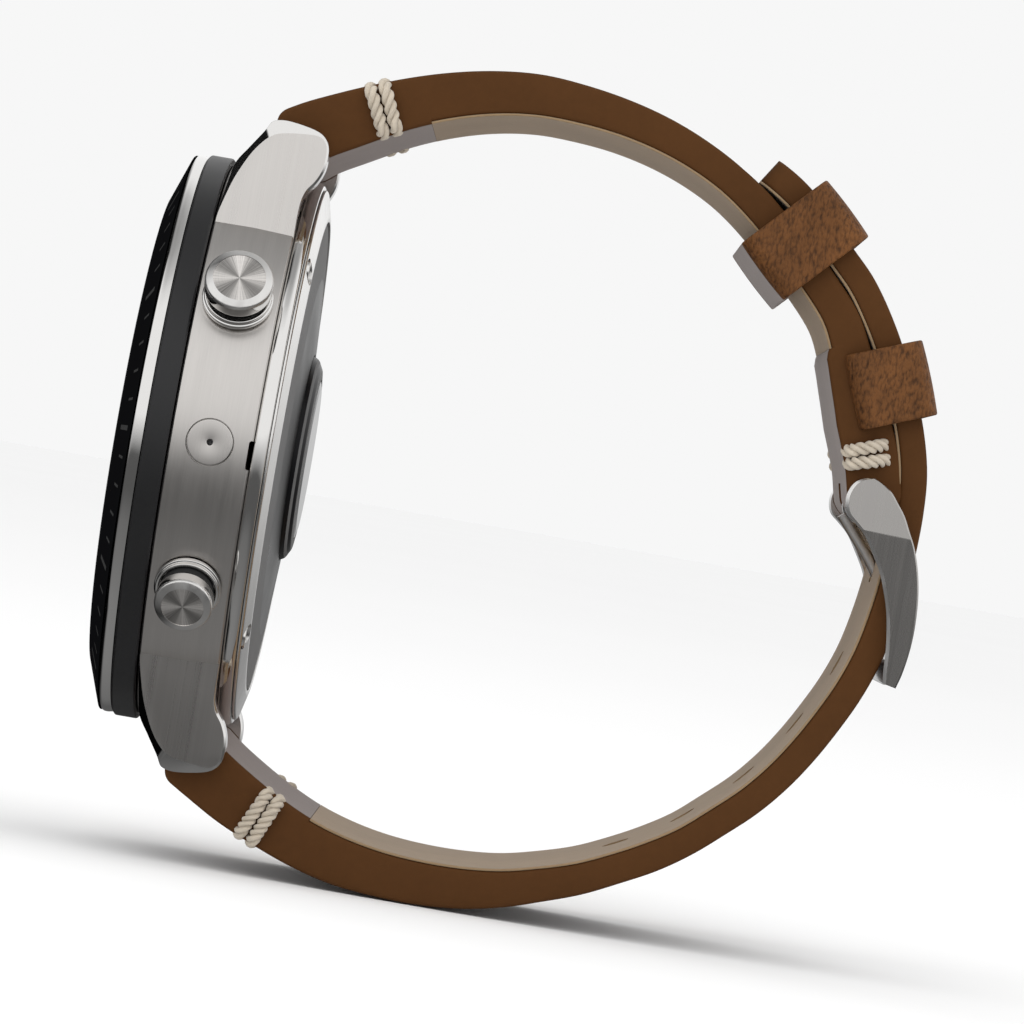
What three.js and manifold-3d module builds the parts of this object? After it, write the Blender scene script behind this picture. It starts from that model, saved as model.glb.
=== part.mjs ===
// A 46 mm smartwatch on a buckled leather strap, as an assembly of separate pieces.
// Millimetres. +X points to 3 o'clock (the two pushers), +Z to 12 o'clock, and the display faces -Y.
// The origin is the middle of the flat sensor window on the back, so the strap loop lies on the +Y side.
import * as THREE from "three";
import { mergeVertices } from "three/addons/utils/BufferGeometryUtils.js";
import Module from "manifold-3d";

const wasm = await Module();
wasm.setup();

// ---- Driving dimensions ----

const SEAM = 0.05; // gap between pieces that rest on each other
const RING_STEPS = 48; // facets round a large ring
const PIN_STEPS = 16; // facets round a small pin or hole

// Case, measured along Y from the sensor window towards the display.
const GLASS_FRONT = -14.6;
const INSERT_BACK = -13.15; // black bezel insert down to the steel bezel
const BEZEL_BACK = -12.1; // steel bezel down to the dark accent band
const ACCENT_BACK = -10.15; // accent band down to the middle case
const CASE_FRONT = -10.05;
const CASE_BACK = -3.6;
const REAR_BAND_BACK = -2.45;
const BACK_RING_BACK = -1.7;
const GLASS_RADIUS = 19.2;
const INSERT_RADIUS = 22.9;
const BEZEL_RADIUS = 23.0;
const ACCENT_RADIUS = 23.15;
const CASE_RADIUS = 22.7;
const REAR_BAND_RADIUS = 22.4;
const BACK_RING_RADIUS = 21.9;
const CAVITY_RADIUS = 19.6;
const PLATE_RADIUS = 19.3;
const SENSOR_RADIUS = 8.4;
const SPIGOT_RADIUS = 20.6; // upstand of the middle case that the front rings fit round
const SCREW_CIRCLE = 20.7; // radius of the circle of four back screws
const SCREW_HEAD_RADIUS = 0.95;
const SCREW_SHANK_RADIUS = 0.5;
const MIC_DISC_RADIUS = 1.8;
const MIC_DISC_Y = -6.93;

// Lugs and strap.
const STRAP_HALF_WIDTH = 11;
const LUG_INNER_X = 11.3;
const LUG_OUTER_X = 14.6;
const LUG_BAR_Y = -5.7;
const LUG_BAR_Z = 24.2;
const LUG_BEVEL = 0.7;
const LUG_LEAN = THREE.MathUtils.degToRad(7); // how far a lug's outer facet leans in towards its tip
const LUG_FOOT_Z = 16.5; // where a lug's outline starts, inside the barrel
const LINING_THICKNESS = 0.3;
const TUNNEL_RADIUS = 1.0; // hole in the leather for a spring bar
const LUG_WRAP_RADIUS = 2.7; // leather turned round the lug bars
const PIN_WRAP_RADIUS = 1.95; // leather turned round the buckle bar
const ROPE_RADIUS = 0.55;
const HOLE_PITCH = 6.2;
const HOLE_LENGTH = 1.9;
const HOLE_WIDTH = 1.5;
const TURN_BACK = 12.0; // the leather is turned back as far as this from the lug bars
const LUG_STITCH = 8.4; // distance of the stitches along the strap from the lug bars

// Keepers. A keeper lies across the strap at (y, z), turned by its angle from +Y.
const KEEPER_WALL = 1.0;
const KEEPER_TUCK = 1.8; // how far the fixed keeper's ends reach into the strap's edges
const TUCK_HEIGHT = 0.9;
const FREE_KEEPER = {
  y: 35.35, z: 22.95, angle: THREE.MathUtils.degToRad(46.5), length: 5.65, bottom: -2.75, top: 5.75,
};
const FIXED_KEEPER = { y: 42.29, z: 12.69, angle: THREE.MathUtils.degToRad(21.5), length: 6.1, top: 6.2 };

// Spring bars.
const BAR_RADIUS = 0.8;
const BAR_BORE_RADIUS = 0.55;
const TIP_RADIUS = 0.45;
const TIP_HOLE_RADIUS = 0.6;
const BAR_HALF_LENGTH = 10.6;
const TIP_START_X = 8.0;
const TIP_END_X = 12.2;

// Pushers, at 2 and 4 o'clock, sized along their own axis from the centre of the watch.
const PUSHER_Y = -6.85;
const PUSHER_TILT = THREE.MathUtils.degToRad(30);
const STEM_RADIUS = 0.8;
const STEM_INNER_END = 19.4;
const NECK_RADIUS = 1.8;
const NECK_START = 22.7;
const HEAD_START = 24.45;
const COLLAR_TOP = 23.65;
const COLLAR_SEAT = 22.85;
const COLLAR_FLOOR = 20.9;
const COLLAR_INNER_END = 20.2;
const COLLAR_BORE = 2.25;
const COLLAR_SLEEVE = 2.5;

// Buckle.
const PIN_Y = 45.1;
const PIN_Z = 4.1;
const ARM_INNER_X = 11.35;
const ARM_OUTER_X = 13.25;
const TONGUE_HALF_WIDTH = 0.8;
const TONGUE_HALF_THICKNESS = 0.45;
// The tongue's middle line leaves the inner side of the bar, goes out through the strap hole
// and rests on the cross bar.
const TONGUE_LINE = [
  [43.6, 3.1], [45.2, 1.25], [46.75, -0.65], [48.5, -3.6], [49.6, -6.7], [49.95, -9.9],
];
const BUCKLE_LIFT_DEG = 7; // how far the frame lifts, and the tongue again on its own

// Colours.
const STEEL = { color: 0x9c9996, roughness: 0.35, metalness: 1 };
const POLISHED = { color: 0xd8d6d2, roughness: 0.12, metalness: 1 };
const BLACK_GLOSS = { color: 0x050505, roughness: 0.08, metalness: 0 };
const DARK_BAND = { color: 0x1f1f20, roughness: 0.45, metalness: 0.4 };
const GREY_PLASTIC = { color: 0x5a5a5c, roughness: 0.3, metalness: 0 };
const RUBBER = { color: 0x151515, roughness: 0.8, metalness: 0 };
const LEATHER = { color: 0x4e321f, roughness: 0.6, metalness: 0 };
const GRAINED = { color: 0x5f371c, roughness: 0.55, metalness: 0 };
const LINING = { color: 0x8b785f, roughness: 0.8, metalness: 0 };
const ROPE = { color: 0xcdc2b0, roughness: 0.9, metalness: 0 };
const BOARD = { color: 0x1d4a2c, roughness: 0.6, metalness: 0 };
const CELL = { color: 0xb9bcc0, roughness: 0.4, metalness: 0.6 };
const COPPER = { color: 0xb5713c, roughness: 0.3, metalness: 1 };

// ---- Solid helpers ----

function toSolid(geometry) {
  const bare = geometry.clone();
  bare.deleteAttribute("normal");
  bare.deleteAttribute("uv");
  const merged = mergeVertices(bare, 1e-4);
  const triVerts = new Uint32Array(merged.index.array);
  const vertProperties = new Float32Array(merged.attributes.position.array);
  return new wasm.Manifold(new wasm.Mesh({ numProp: 3, vertProperties, triVerts }));
}

function toGeometry(solid) {
  const mesh = solid.getMesh();
  const geometry = new THREE.BufferGeometry();
  geometry.setAttribute("position", new THREE.BufferAttribute(mesh.vertProperties, 3));
  geometry.setIndex(new THREE.BufferAttribute(mesh.triVerts, 1));
  const flat = geometry.toNonIndexed();
  flat.computeVertexNormals();
  return flat;
}

// A closed profile of [radius, y] corners turned round the Y axis.
// Corners run up the outside and down the inside, so that the faces look out.
function turned(corners, steps = RING_STEPS) {
  const points = corners.map(([radius, y]) => new THREE.Vector2(radius, y));
  const onAxis = corners[0][0] === 0 && corners[corners.length - 1][0] === 0;
  if (!onAxis) points.push(points[0].clone());
  return new THREE.LatheGeometry(points, steps);
}

// A plain ring of rectangular section.
function ring(inner, outer, front, back, steps = RING_STEPS) {
  return turned([[inner, front], [outer, front], [outer, back], [inner, back]], steps);
}

// A plain disc, or a cylinder along Y.
function disc(radius, front, back, steps = RING_STEPS) {
  return turned([[0, front], [radius, front], [radius, back], [0, back]], steps);
}

function box(sizeX, sizeY, sizeZ, x, y, z) {
  return new THREE.BoxGeometry(sizeX, sizeY, sizeZ).translate(x, y, z);
}

const SHAPE_TO_YZ = new THREE.Matrix4().makeBasis(
  new THREE.Vector3(0, 1, 0),
  new THREE.Vector3(0, 0, 1),
  new THREE.Vector3(1, 0, 0),
);

// A shape drawn in (y, z) and extruded along X from x0 to x1, with a bevel that grows outwards.
function alongX(shape, x0, x1, bevel = 0) {
  const geometry = new THREE.ExtrudeGeometry(shape, {
    depth: x1 - x0 - 2 * bevel,
    bevelEnabled: bevel > 0,
    bevelSize: bevel,
    bevelThickness: bevel,
    bevelSegments: 1,
    curveSegments: 6,
  });
  geometry.translate(0, 0, x0 + bevel);
  return geometry.applyMatrix4(SHAPE_TO_YZ);
}

function shapeOf(corners) {
  return new THREE.Shape(corners.map(([y, z]) => new THREE.Vector2(y, z)));
}

// A cylinder along X, centred on (y, z).
function pinAlongX(radius, x0, x1, y, z, steps = PIN_STEPS) {
  const pin = new THREE.CylinderGeometry(radius, radius, x1 - x0, steps);
  return pin.rotateZ(-Math.PI / 2).translate((x0 + x1) / 2, y, z);
}

// A cylinder along a pusher's axis, in the pusher's own group, where the axis is X.
function turnedAlongX(corners, steps = 32) {
  return turned(corners, steps).rotateZ(-Math.PI / 2);
}

function subtract(geometry, ...cutters) {
  return toGeometry(cutters.reduce((solid, cutter) => solid.subtract(toSolid(cutter)), toSolid(geometry)));
}

function join(...geometries) {
  return toGeometry(geometries.map(toSolid).reduce((whole, solid) => whole.add(solid)));
}

function piece(name, geometry, finish) {
  const mesh = new THREE.Mesh(geometry, new THREE.MeshStandardMaterial(finish));
  mesh.name = name;
  return mesh;
}

function mirroredZ(geometry) {
  return toGeometry(toSolid(geometry).mirror([0, 0, 1]));
}

// ---- Middle case with its lugs ----

// The outline of a 12 o'clock lug's side facet, in (y, z). The bevel grows outwards from it.
function lugOutline() {
  const outline = new THREE.Shape();
  outline.moveTo(-9.3, LUG_FOOT_Z);
  outline.lineTo(-9.2, 20.0);
  outline.quadraticCurveTo(-8.9, 21.5, -8.0, 23.1);
  outline.quadraticCurveTo(-6.8, 25.35, -5.6, 25.45);
  outline.lineTo(-4.4, 25.4);
  outline.quadraticCurveTo(-2.9, 25.3, -2.85, 24.0);
  outline.quadraticCurveTo(-2.85, 22.5, -4.0, 21.2);
  outline.lineTo(-4.36, 20.0);
  outline.lineTo(-4.4, LUG_FOOT_Z);
  return outline;
}

function lug(side) {
  const inner = LUG_INNER_X;
  const blank = alongX(lugOutline(), inner - 2 * LUG_BEVEL, LUG_OUTER_X, LUG_BEVEL);
  // The outer facet leans in towards the tip, and the inner side is cut flat for the strap.
  const facet = new THREE.BoxGeometry(4, 30, 30);
  facet.rotateY(LUG_LEAN);
  facet.translate(LUG_OUTER_X + 1.75, LUG_BAR_Y, 20);
  const innerCut = box(6, 30, 30, inner - 3, LUG_BAR_Y, 20);
  const hole = pinAlongX(TIP_HOLE_RADIUS, inner - 1, TIP_END_X + 0.4, LUG_BAR_Y, LUG_BAR_Z);
  const shaped = subtract(blank, facet, innerCut, hole);
  return side > 0 ? shaped : toGeometry(toSolid(shaped).mirror([1, 0, 0]));
}

function pusherBore(side) {
  const bore = new THREE.CylinderGeometry(COLLAR_SLEEVE + 0.1, COLLAR_SLEEVE + 0.1, 10, 24);
  bore.rotateZ(-Math.PI / 2).translate(22, 0, 0);
  return bore.rotateY(-side * PUSHER_TILT).translate(0, PUSHER_Y, 0);
}

function screwPlaces() {
  return [0, 1, 2, 3].map((index) => {
    const angle = Math.PI / 4 + (index * Math.PI) / 2;
    return [SCREW_CIRCLE * Math.cos(angle), SCREW_CIRCLE * Math.sin(angle)];
  });
}

function midCase() {
  const barrel = turned([
    [CAVITY_RADIUS, -11.6],
    [SPIGOT_RADIUS, -11.6],
    [SPIGOT_RADIUS, CASE_FRONT],
    [CASE_RADIUS - 0.1, CASE_FRONT],
    [CASE_RADIUS, -6.85],
    [CASE_RADIUS - 0.15, CASE_BACK],
    [21.6, CASE_BACK],
    [21.6, -3.1],
    [CAVITY_RADIUS, -3.1],
  ]);
  const lugs = [-1, 1].flatMap((side) => {
    const upper = lug(side);
    return [upper, mirroredZ(upper)];
  });
  const frontRings = disc(ACCENT_RADIUS + 0.3, -13, CASE_FRONT);
  const cavity = disc(CAVITY_RADIUS, -13, 0);
  const clearedLugs = lugs.map((one) => subtract(one, frontRings, cavity));
  const wrapRoom = [-1, 1].map((end) =>
    pinAlongX(LUG_WRAP_RADIUS + 0.35, -LUG_INNER_X, LUG_INNER_X, LUG_BAR_Y, end * LUG_BAR_Z, 32));
  const screwHoles = screwPlaces().map(([x, z]) =>
    disc(SCREW_SHANK_RADIUS + 0.1, -5.7, -2, PIN_STEPS).translate(x, 0, z));
  const micSeat = pinAlongX(MIC_DISC_RADIUS + 0.1, CASE_RADIUS - 0.9, 26, MIC_DISC_Y, 0, 32);
  const micHole = pinAlongX(0.6, 19, 26, MIC_DISC_Y, 0);
  const vent = box(6, 0.4, 2.3, 22, CASE_BACK - 0.1, -0.5);
  const speakerSlots = [-1, 0, 1].map((step) => box(6, 0.6, 3, -22, -6.9, step * 4));
  return subtract(
    join(barrel, ...clearedLugs),
    ...wrapRoom, pusherBore(1), pusherBore(-1), ...screwHoles, micSeat, micHole, vent, ...speakerSlots,
  );
}

function micDisc() {
  const plate = pinAlongX(MIC_DISC_RADIUS, CASE_RADIUS - 0.85, CASE_RADIUS + 0.02, MIC_DISC_Y, 0, 32);
  return subtract(plate, pinAlongX(0.28, 20, 26, MIC_DISC_Y, 0));
}

// ---- Front ----

function bezelInsert() {
  return turned([
    [GLASS_RADIUS + SEAM, GLASS_FRONT],
    [GLASS_RADIUS + 0.3, GLASS_FRONT],
    [INSERT_RADIUS, INSERT_BACK - 0.15],
    [INSERT_RADIUS, INSERT_BACK],
    [GLASS_RADIUS + SEAM, INSERT_BACK],
  ]);
}

function bezelRing() {
  return turned([
    [CAVITY_RADIUS, INSERT_BACK + SEAM],
    [INSERT_RADIUS, INSERT_BACK + SEAM],
    [BEZEL_RADIUS, INSERT_BACK + 0.3],
    [BEZEL_RADIUS, BEZEL_BACK],
    [CAVITY_RADIUS, BEZEL_BACK],
  ]);
}

function frontPieces() {
  const accent = ring(SPIGOT_RADIUS + 0.1, ACCENT_RADIUS, BEZEL_BACK + SEAM, ACCENT_BACK);
  const gasket = ring(CAVITY_RADIUS + 0.1, SPIGOT_RADIUS - 0.1, BEZEL_BACK + SEAM, -11.65);
  return [
    piece("front_glass", disc(GLASS_RADIUS, GLASS_FRONT, -13.6), BLACK_GLOSS),
    piece("bezel_insert", bezelInsert(), BLACK_GLOSS),
    piece("bezel_ring", bezelRing(), POLISHED),
    piece("accent_band", accent, DARK_BAND),
    piece("front_gasket", gasket, RUBBER),
    piece("display_panel", disc(18.4, -13.55, -12.35), BLACK_GLOSS),
  ];
}

// ---- Back ----

function backRing() {
  const blank = turned([
    [PLATE_RADIUS + 0.1, REAR_BAND_BACK + SEAM],
    [BACK_RING_RADIUS, REAR_BAND_BACK + SEAM],
    [BACK_RING_RADIUS, REAR_BAND_BACK + 0.2],
    [PLATE_RADIUS + 0.6, BACK_RING_BACK],
    [PLATE_RADIUS + 0.1, BACK_RING_BACK],
  ]);
  const holes = screwPlaces().map(([x, z]) =>
    disc(SCREW_HEAD_RADIUS + 0.1, -3, 0, 24).translate(x, 0, z));
  return subtract(blank, ...holes);
}

function backScrew(x, z) {
  const body = turned([
    [0, -5.5],
    [SCREW_SHANK_RADIUS, -5.5],
    [SCREW_SHANK_RADIUS, -2.4],
    [SCREW_HEAD_RADIUS, -2.4],
    [SCREW_HEAD_RADIUS, -1.95],
    [0, -1.95],
  ], 20);
  const recess = new THREE.CylinderGeometry(0.4, 0.4, 1, 6).translate(0, -1.75, 0);
  return subtract(body, recess).translate(x, 0, z);
}

function backCover() {
  return turned([
    [SENSOR_RADIUS + 0.1, -2.5],
    [PLATE_RADIUS, -2.5],
    [PLATE_RADIUS, -1.85],
    [15, -1.45],
    [SENSOR_RADIUS + 1.2, -1.1],
    [SENSOR_RADIUS + 0.1, -0.95],
  ]);
}

function sensorBezel() {
  return turned([
    [6.6, -2.5],
    [SENSOR_RADIUS, -2.5],
    [SENSOR_RADIUS, -0.8],
    [SENSOR_RADIUS - 0.5, -0.35],
    [SENSOR_RADIUS - 1.2, -0.15],
    [6.6, -0.15],
  ]);
}

function sensorWindow() {
  return turned([[0, -1.0], [6.5, -1.0], [6.5, -0.15], [6.0, 0], [0, 0]]);
}

function sensorBoard() {
  const emitters = [0, 1, 2, 3].map((index) => {
    const angle = (index * Math.PI) / 2;
    return box(1.8, 0.9, 1.8, 3.6 * Math.cos(angle), -2.2, 3.6 * Math.sin(angle));
  });
  return join(disc(7.4, -3.3, -2.6), box(2.4, 0.9, 2.4, 0, -2.2, 0), ...emitters);
}

function backPieces() {
  const gasket = ring(CAVITY_RADIUS + 0.1, 21.5, -3.05, -2.5);
  const gasketHoles = screwPlaces().map(([x, z]) =>
    disc(SCREW_SHANK_RADIUS + 0.1, -4, -2, PIN_STEPS).translate(x, 0, z));
  const screws = screwPlaces().map(([x, z], index) =>
    piece("back_screw_" + (index + 1), backScrew(x, z), POLISHED));
  return [
    piece("rear_band", ring(21.7, REAR_BAND_RADIUS, CASE_BACK + SEAM, REAR_BAND_BACK), POLISHED),
    piece("back_gasket", subtract(gasket, ...gasketHoles), RUBBER),
    piece("back_ring", backRing(), POLISHED),
    piece("back_cover", backCover(), GREY_PLASTIC),
    piece("sensor_bezel", sensorBezel(), GREY_PLASTIC),
    piece("sensor_window", sensorWindow(), BLACK_GLOSS),
    piece("sensor_board", sensorBoard(), BOARD),
    piece("charging_coil", ring(11.5, 15.5, -3.4, -2.7, 48), COPPER),
    ...screws,
  ];
}

// ---- Inside ----

function chassis() {
  const tray = turned([
    [0, -12.2],
    [19.2, -12.2],
    [19.2, -9.5],
    [18.4, -9.5],
    [18.4, -11.4],
    [0, -11.4],
  ]);
  return subtract(tray, box(9, 4, 3, 0, -12, 11), box(5, 4, 5, -9, -12, -7));
}

function mainBoard() {
  const chips = [box(7, 0.9, 7, 4, -9.7, 5), box(5, 0.8, 4, -5, -9.75, 7), box(4, 0.7, 3, -6, -9.8, -6)];
  return join(disc(18.0, -10.9, -10.1), ...chips);
}

function keyFlex() {
  const strip = new THREE.Shape();
  const reach = THREE.MathUtils.degToRad(38);
  strip.absarc(0, 0, 18.3, -reach, reach, false);
  strip.absarc(0, 0, 17.8, reach, -reach, true);
  const band = new THREE.ExtrudeGeometry(strip, { depth: 3, bevelEnabled: false, curveSegments: 24 });
  band.rotateX(Math.PI / 2).translate(0, PUSHER_Y + 1.5, 0);
  const switches = [-1, 1].map((side) =>
    box(1.4, 2.4, 2.8, 17.3, 0, 0).rotateY(-side * PUSHER_TILT).translate(0, PUSHER_Y, 0));
  const microphoneGap = box(4, 4, 6, 18, PUSHER_Y, 0);
  const bridge = box(1.2, 0.5, 8, 17.6, PUSHER_Y - 1.25, 0);
  return join(subtract(band, microphoneGap), ...switches, bridge);
}

function insidePieces() {
  return [
    piece("chassis", chassis(), GREY_PLASTIC),
    piece("main_board", mainBoard(), BOARD),
    piece("battery", disc(12.8, -8.9, -4.3, 56), CELL),
    piece("haptic_motor", box(10, 3.2, 3, 0, -6.9, -16.2), CELL),
    piece("speaker", box(3.2, 3.2, 12, -16.4, -6.9, 0), BLACK_GLOSS),
    piece("microphone", box(1.2, 1.8, 3, 18.4, MIC_DISC_Y + 0.4, 0), CELL),
    piece("key_flex", keyFlex(), COPPER),
  ];
}

// ---- Pushers ----

// The cap with its neck and stem, as [radius, distance from the watch's centre].
function pusherCap(headRadius) {
  return turnedAlongX([
    [0, STEM_INNER_END],
    [STEM_RADIUS, STEM_INNER_END],
    [STEM_RADIUS, NECK_START],
    [NECK_RADIUS, NECK_START],
    [NECK_RADIUS, HEAD_START],
    [headRadius, HEAD_START],
    [headRadius, HEAD_START + 1.15],
    [headRadius - 0.5, HEAD_START + 1.6],
    [0, HEAD_START + 1.55],
  ]);
}

function pusherCollar(flangeRadius) {
  return turnedAlongX([
    [STEM_RADIUS + 0.1, COLLAR_INNER_END],
    [COLLAR_SLEEVE, COLLAR_INNER_END],
    [COLLAR_SLEEVE, COLLAR_SEAT],
    [flangeRadius, COLLAR_SEAT],
    [flangeRadius, COLLAR_SEAT + 0.4],
    [flangeRadius - 0.12, COLLAR_SEAT + 0.42],
    [flangeRadius - 0.12, COLLAR_TOP],
    [COLLAR_BORE, COLLAR_TOP],
    [COLLAR_BORE, COLLAR_FLOOR],
    [STEM_RADIUS + 0.1, COLLAR_FLOOR],
  ]);
}

// A coil of round wire between two places on the pusher's axis.
function coilSpring(start, end, radius, wireRadius, turns) {
  const points = [];
  const stepsPerTurn = 12;
  for (let step = 0; step <= turns * stepsPerTurn; step += 1) {
    const angle = (step / stepsPerTurn) * 2 * Math.PI;
    const along = start + ((end - start) * step) / (turns * stepsPerTurn);
    points.push(new THREE.Vector3(along, radius * Math.cos(angle), radius * Math.sin(angle)));
  }
  const wire = new THREE.Shape();
  wire.absarc(0, 0, wireRadius, 0, 2 * Math.PI, false);
  return new THREE.ExtrudeGeometry(wire, {
    steps: points.length - 1,
    bevelEnabled: false,
    curveSegments: 3,
    extrudePath: new THREE.CatmullRomCurve3(points),
  });
}

function pusher(label, side, headRadius, flangeRadius) {
  const group = new THREE.Group();
  const seal = [[NECK_RADIUS + SEAM, COLLAR_TOP - 0.3], [2.15, COLLAR_TOP - 0.3],
    [2.15, HEAD_START - 0.1], [NECK_RADIUS + SEAM, HEAD_START - 0.1]];
  const clip = [[STEM_RADIUS + SEAM, 19.75], [1.4, 19.75], [1.4, 20.1], [STEM_RADIUS + SEAM, 20.1]];
  const spring = coilSpring(COLLAR_FLOOR + 0.2, NECK_START - 0.2, 1.4, 0.15, 3);
  group.add(
    piece("pusher_" + label + "_cap", pusherCap(headRadius), POLISHED),
    piece("pusher_" + label + "_seal", turnedAlongX(seal), RUBBER),
    piece("pusher_" + label + "_clip", turnedAlongX(clip, 20), STEEL),
    piece("pusher_" + label + "_collar", pusherCollar(flangeRadius), POLISHED),
    piece("pusher_" + label + "_spring", spring, STEEL),
  );
  group.rotation.y = -side * PUSHER_TILT;
  group.position.y = PUSHER_Y;
  return group;
}

// ---- Spring bars ----

function barTip(side, y, z) {
  const [x0, x1] = side > 0 ? [TIP_START_X, TIP_END_X] : [-TIP_END_X, -TIP_START_X];
  return pinAlongX(TIP_RADIUS, x0, x1, y, z);
}

function springBar(label, y, z) {
  const outer = pinAlongX(BAR_RADIUS, -BAR_HALF_LENGTH, BAR_HALF_LENGTH, y, z, 20);
  const bore = pinAlongX(BAR_BORE_RADIUS, -BAR_HALF_LENGTH - 1, BAR_HALF_LENGTH + 1, y, z);
  return [
    piece("bar_" + label + "_tube", subtract(outer, bore), STEEL),
    piece("bar_" + label + "_tip_right", barTip(1, y, z), POLISHED),
    piece("bar_" + label + "_tip_left", barTip(-1, y, z), POLISHED),
  ];
}

// ---- Strap ----

// Each half's middle line from its lug bar, as [y, z, thickness].
const SHORT_HALF = [
  [-5.7, 24.3, 5.0], [-3.6, 25.9, 4.8], [-1.0, 27.3, 4.6], [3.0, 29.2, 4.1], [6.6, 30.5, 3.8],
  [10.1, 31.35, 3.6], [13.6, 31.75, 3.45], [17.1, 31.6, 3.25], [20.5, 31.15, 3.05],
  [23.8, 30.35, 2.9], [26.9, 29.2, 2.75], [29.9, 27.65, 2.65], [32.7, 25.6, 2.6],
  [35.4, 23.1, 2.6], [38.1, 20.55, 2.6], [40.0, 18.3, 2.6], [41.2, 15.9, 2.7], [42.2, 13.3, 2.9],
  [43.2, 10.7, 3.2], [44.2, 8.0, 3.6], [45.0, 4.9, 3.7],
];
const LONG_HALF = [
  [-5.7, -24.3, 5.0], [-3.6, -25.9, 4.8], [-1.2, -27.4, 4.7], [1.7, -28.85, 4.4],
  [5.0, -30.2, 4.15], [8.3, -31.1, 4.0], [11.6, -31.55, 3.75], [14.9, -31.7, 3.6],
  [18.1, -31.55, 3.4], [21.3, -31.05, 3.1], [24.3, -30.2, 2.85], [27.25, -29.2, 2.7],
  [30.0, -27.9, 2.6], [32.7, -26.45, 2.6], [35.15, -24.8, 2.5], [37.4, -22.85, 2.5],
  [39.6, -20.8, 2.5], [41.5, -18.55, 2.5], [43.15, -16.1, 2.5], [44.6, -13.5, 2.5],
  [45.85, -10.9, 2.5], [46.85, -8.1, 2.5], [47.5, -5.2, 2.5], [47.95, -2.2, 2.5],
  [48.2, 1.0, 2.4], [48.3, 4.1, 2.3], [48.05, 7.2, 2.3], [47.15, 10.6, 2.3], [45.75, 14.0, 2.3],
  [43.8, 17.8, 2.3], [41.5, 21.2, 2.3], [39.4, 23.35, 2.3], [37.8, 25.1, 2.35],
  [35.3, 27.35, 2.4], [32.68, 29.05, 2.4],
];

// A strap half as a curve: at(distance) gives the middle point, outward normal and thickness there.
// Past the end the curve runs straight on.
function strapPath(points, outwardSign) {
  const corners = points.map(([y, z, thickness]) => new THREE.Vector3(y, z, thickness));
  const curve = new THREE.CatmullRomCurve3(corners, false, "centripetal");
  curve.arcLengthDivisions = 600;
  const length = curve.getLength();
  const at = (distance) => {
    const share = THREE.MathUtils.clamp(distance / length, 0, 1);
    const point = curve.getPointAt(share);
    const ahead = curve.getPointAt(Math.min(share + 1e-3, 1));
    const behind = curve.getPointAt(Math.max(share - 1e-3, 0));
    const run = Math.hypot(ahead.x - behind.x, ahead.y - behind.y);
    const tangentY = (ahead.x - behind.x) / run;
    const tangentZ = (ahead.y - behind.y) / run;
    const past = Math.max(distance - length, 0);
    return {
      y: point.x + past * tangentY,
      z: point.y + past * tangentZ,
      normalY: -outwardSign * tangentZ,
      normalZ: outwardSign * tangentY,
      thickness: point.z,
    };
  };
  return { at, length };
}

const shortPath = strapPath(SHORT_HALF, 1);
const longPath = strapPath(LONG_HALF, -1);

// The distance along a path of the place nearest (y, z).
function distanceNear(path, y, z) {
  let best = 0;
  let nearest = Infinity;
  for (let distance = 0; distance <= path.length; distance += 0.05) {
    const place = path.at(distance);
    const gap = Math.hypot(place.y - y, place.z - z);
    if (gap < nearest) {
      nearest = gap;
      best = distance;
    }
  }
  return best;
}

// A band between two distances; low and high give its faces as offsets along the outward normal.
function band(path, from, to, low, high, halfWidth = STRAP_HALF_WIDTH) {
  const steps = Math.max(4, Math.round((to - from) / 2.2));
  const outer = [];
  const inner = [];
  for (let step = 0; step <= steps; step += 1) {
    const place = path.at(from + ((to - from) * step) / steps);
    const up = high(place.thickness);
    const down = low(place.thickness);
    outer.push([place.y + place.normalY * up, place.z + place.normalZ * up]);
    inner.push([place.y + place.normalY * down, place.z + place.normalZ * down]);
  }
  return alongX(shapeOf([...outer, ...inner.reverse()]), -halfWidth, halfWidth);
}

const outerFace = (thickness) => thickness / 2;
const innerFace = (thickness) => -thickness / 2;

// The lining runs between two distances on the inner face, let into the leather.
function liningBand(path, from, to) {
  const top = (thickness) => -thickness / 2 + LINING_THICKNESS;
  return band(path, from, to, innerFace, top);
}

function liningRoom(path, from, to) {
  const top = (thickness) => -thickness / 2 + LINING_THICKNESS + SEAM;
  const bottom = (thickness) => -thickness / 2 - 1;
  return band(path, from - SEAM, to + SEAM, bottom, top, STRAP_HALF_WIDTH + 1);
}

// A hole through the whole strap at a distance along it.
function strapHole(path, distance, length, width) {
  const place = path.at(distance);
  const cutter = new THREE.BoxGeometry(width, 8, length);
  cutter.rotateX(Math.atan2(place.normalZ, place.normalY));
  return cutter.translate(0, place.y, place.z);
}

// ---- Buckle ----

// Arm outline in (y, z): a broad lobe on the bar, sweeping down to the cross bar.
function armOutline() {
  const outline = new THREE.Shape();
  outline.moveTo(49.3, -9.7);
  outline.quadraticCurveTo(50.75, -4.6, 49.2, 0.2);
  outline.quadraticCurveTo(48.3, 2.6, 46.9, 4.6);
  outline.quadraticCurveTo(45.9, 5.95, 44.95, 5.95);
  outline.quadraticCurveTo(43.25, 5.9, 43.25, 4.2);
  outline.quadraticCurveTo(43.3, 3.2, 44.3, 2.6);
  outline.quadraticCurveTo(45.4, 1.7, 46.0, 0.5);
  outline.quadraticCurveTo(48.45, -3.7, 48.65, -9.5);
  return outline;
}

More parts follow.
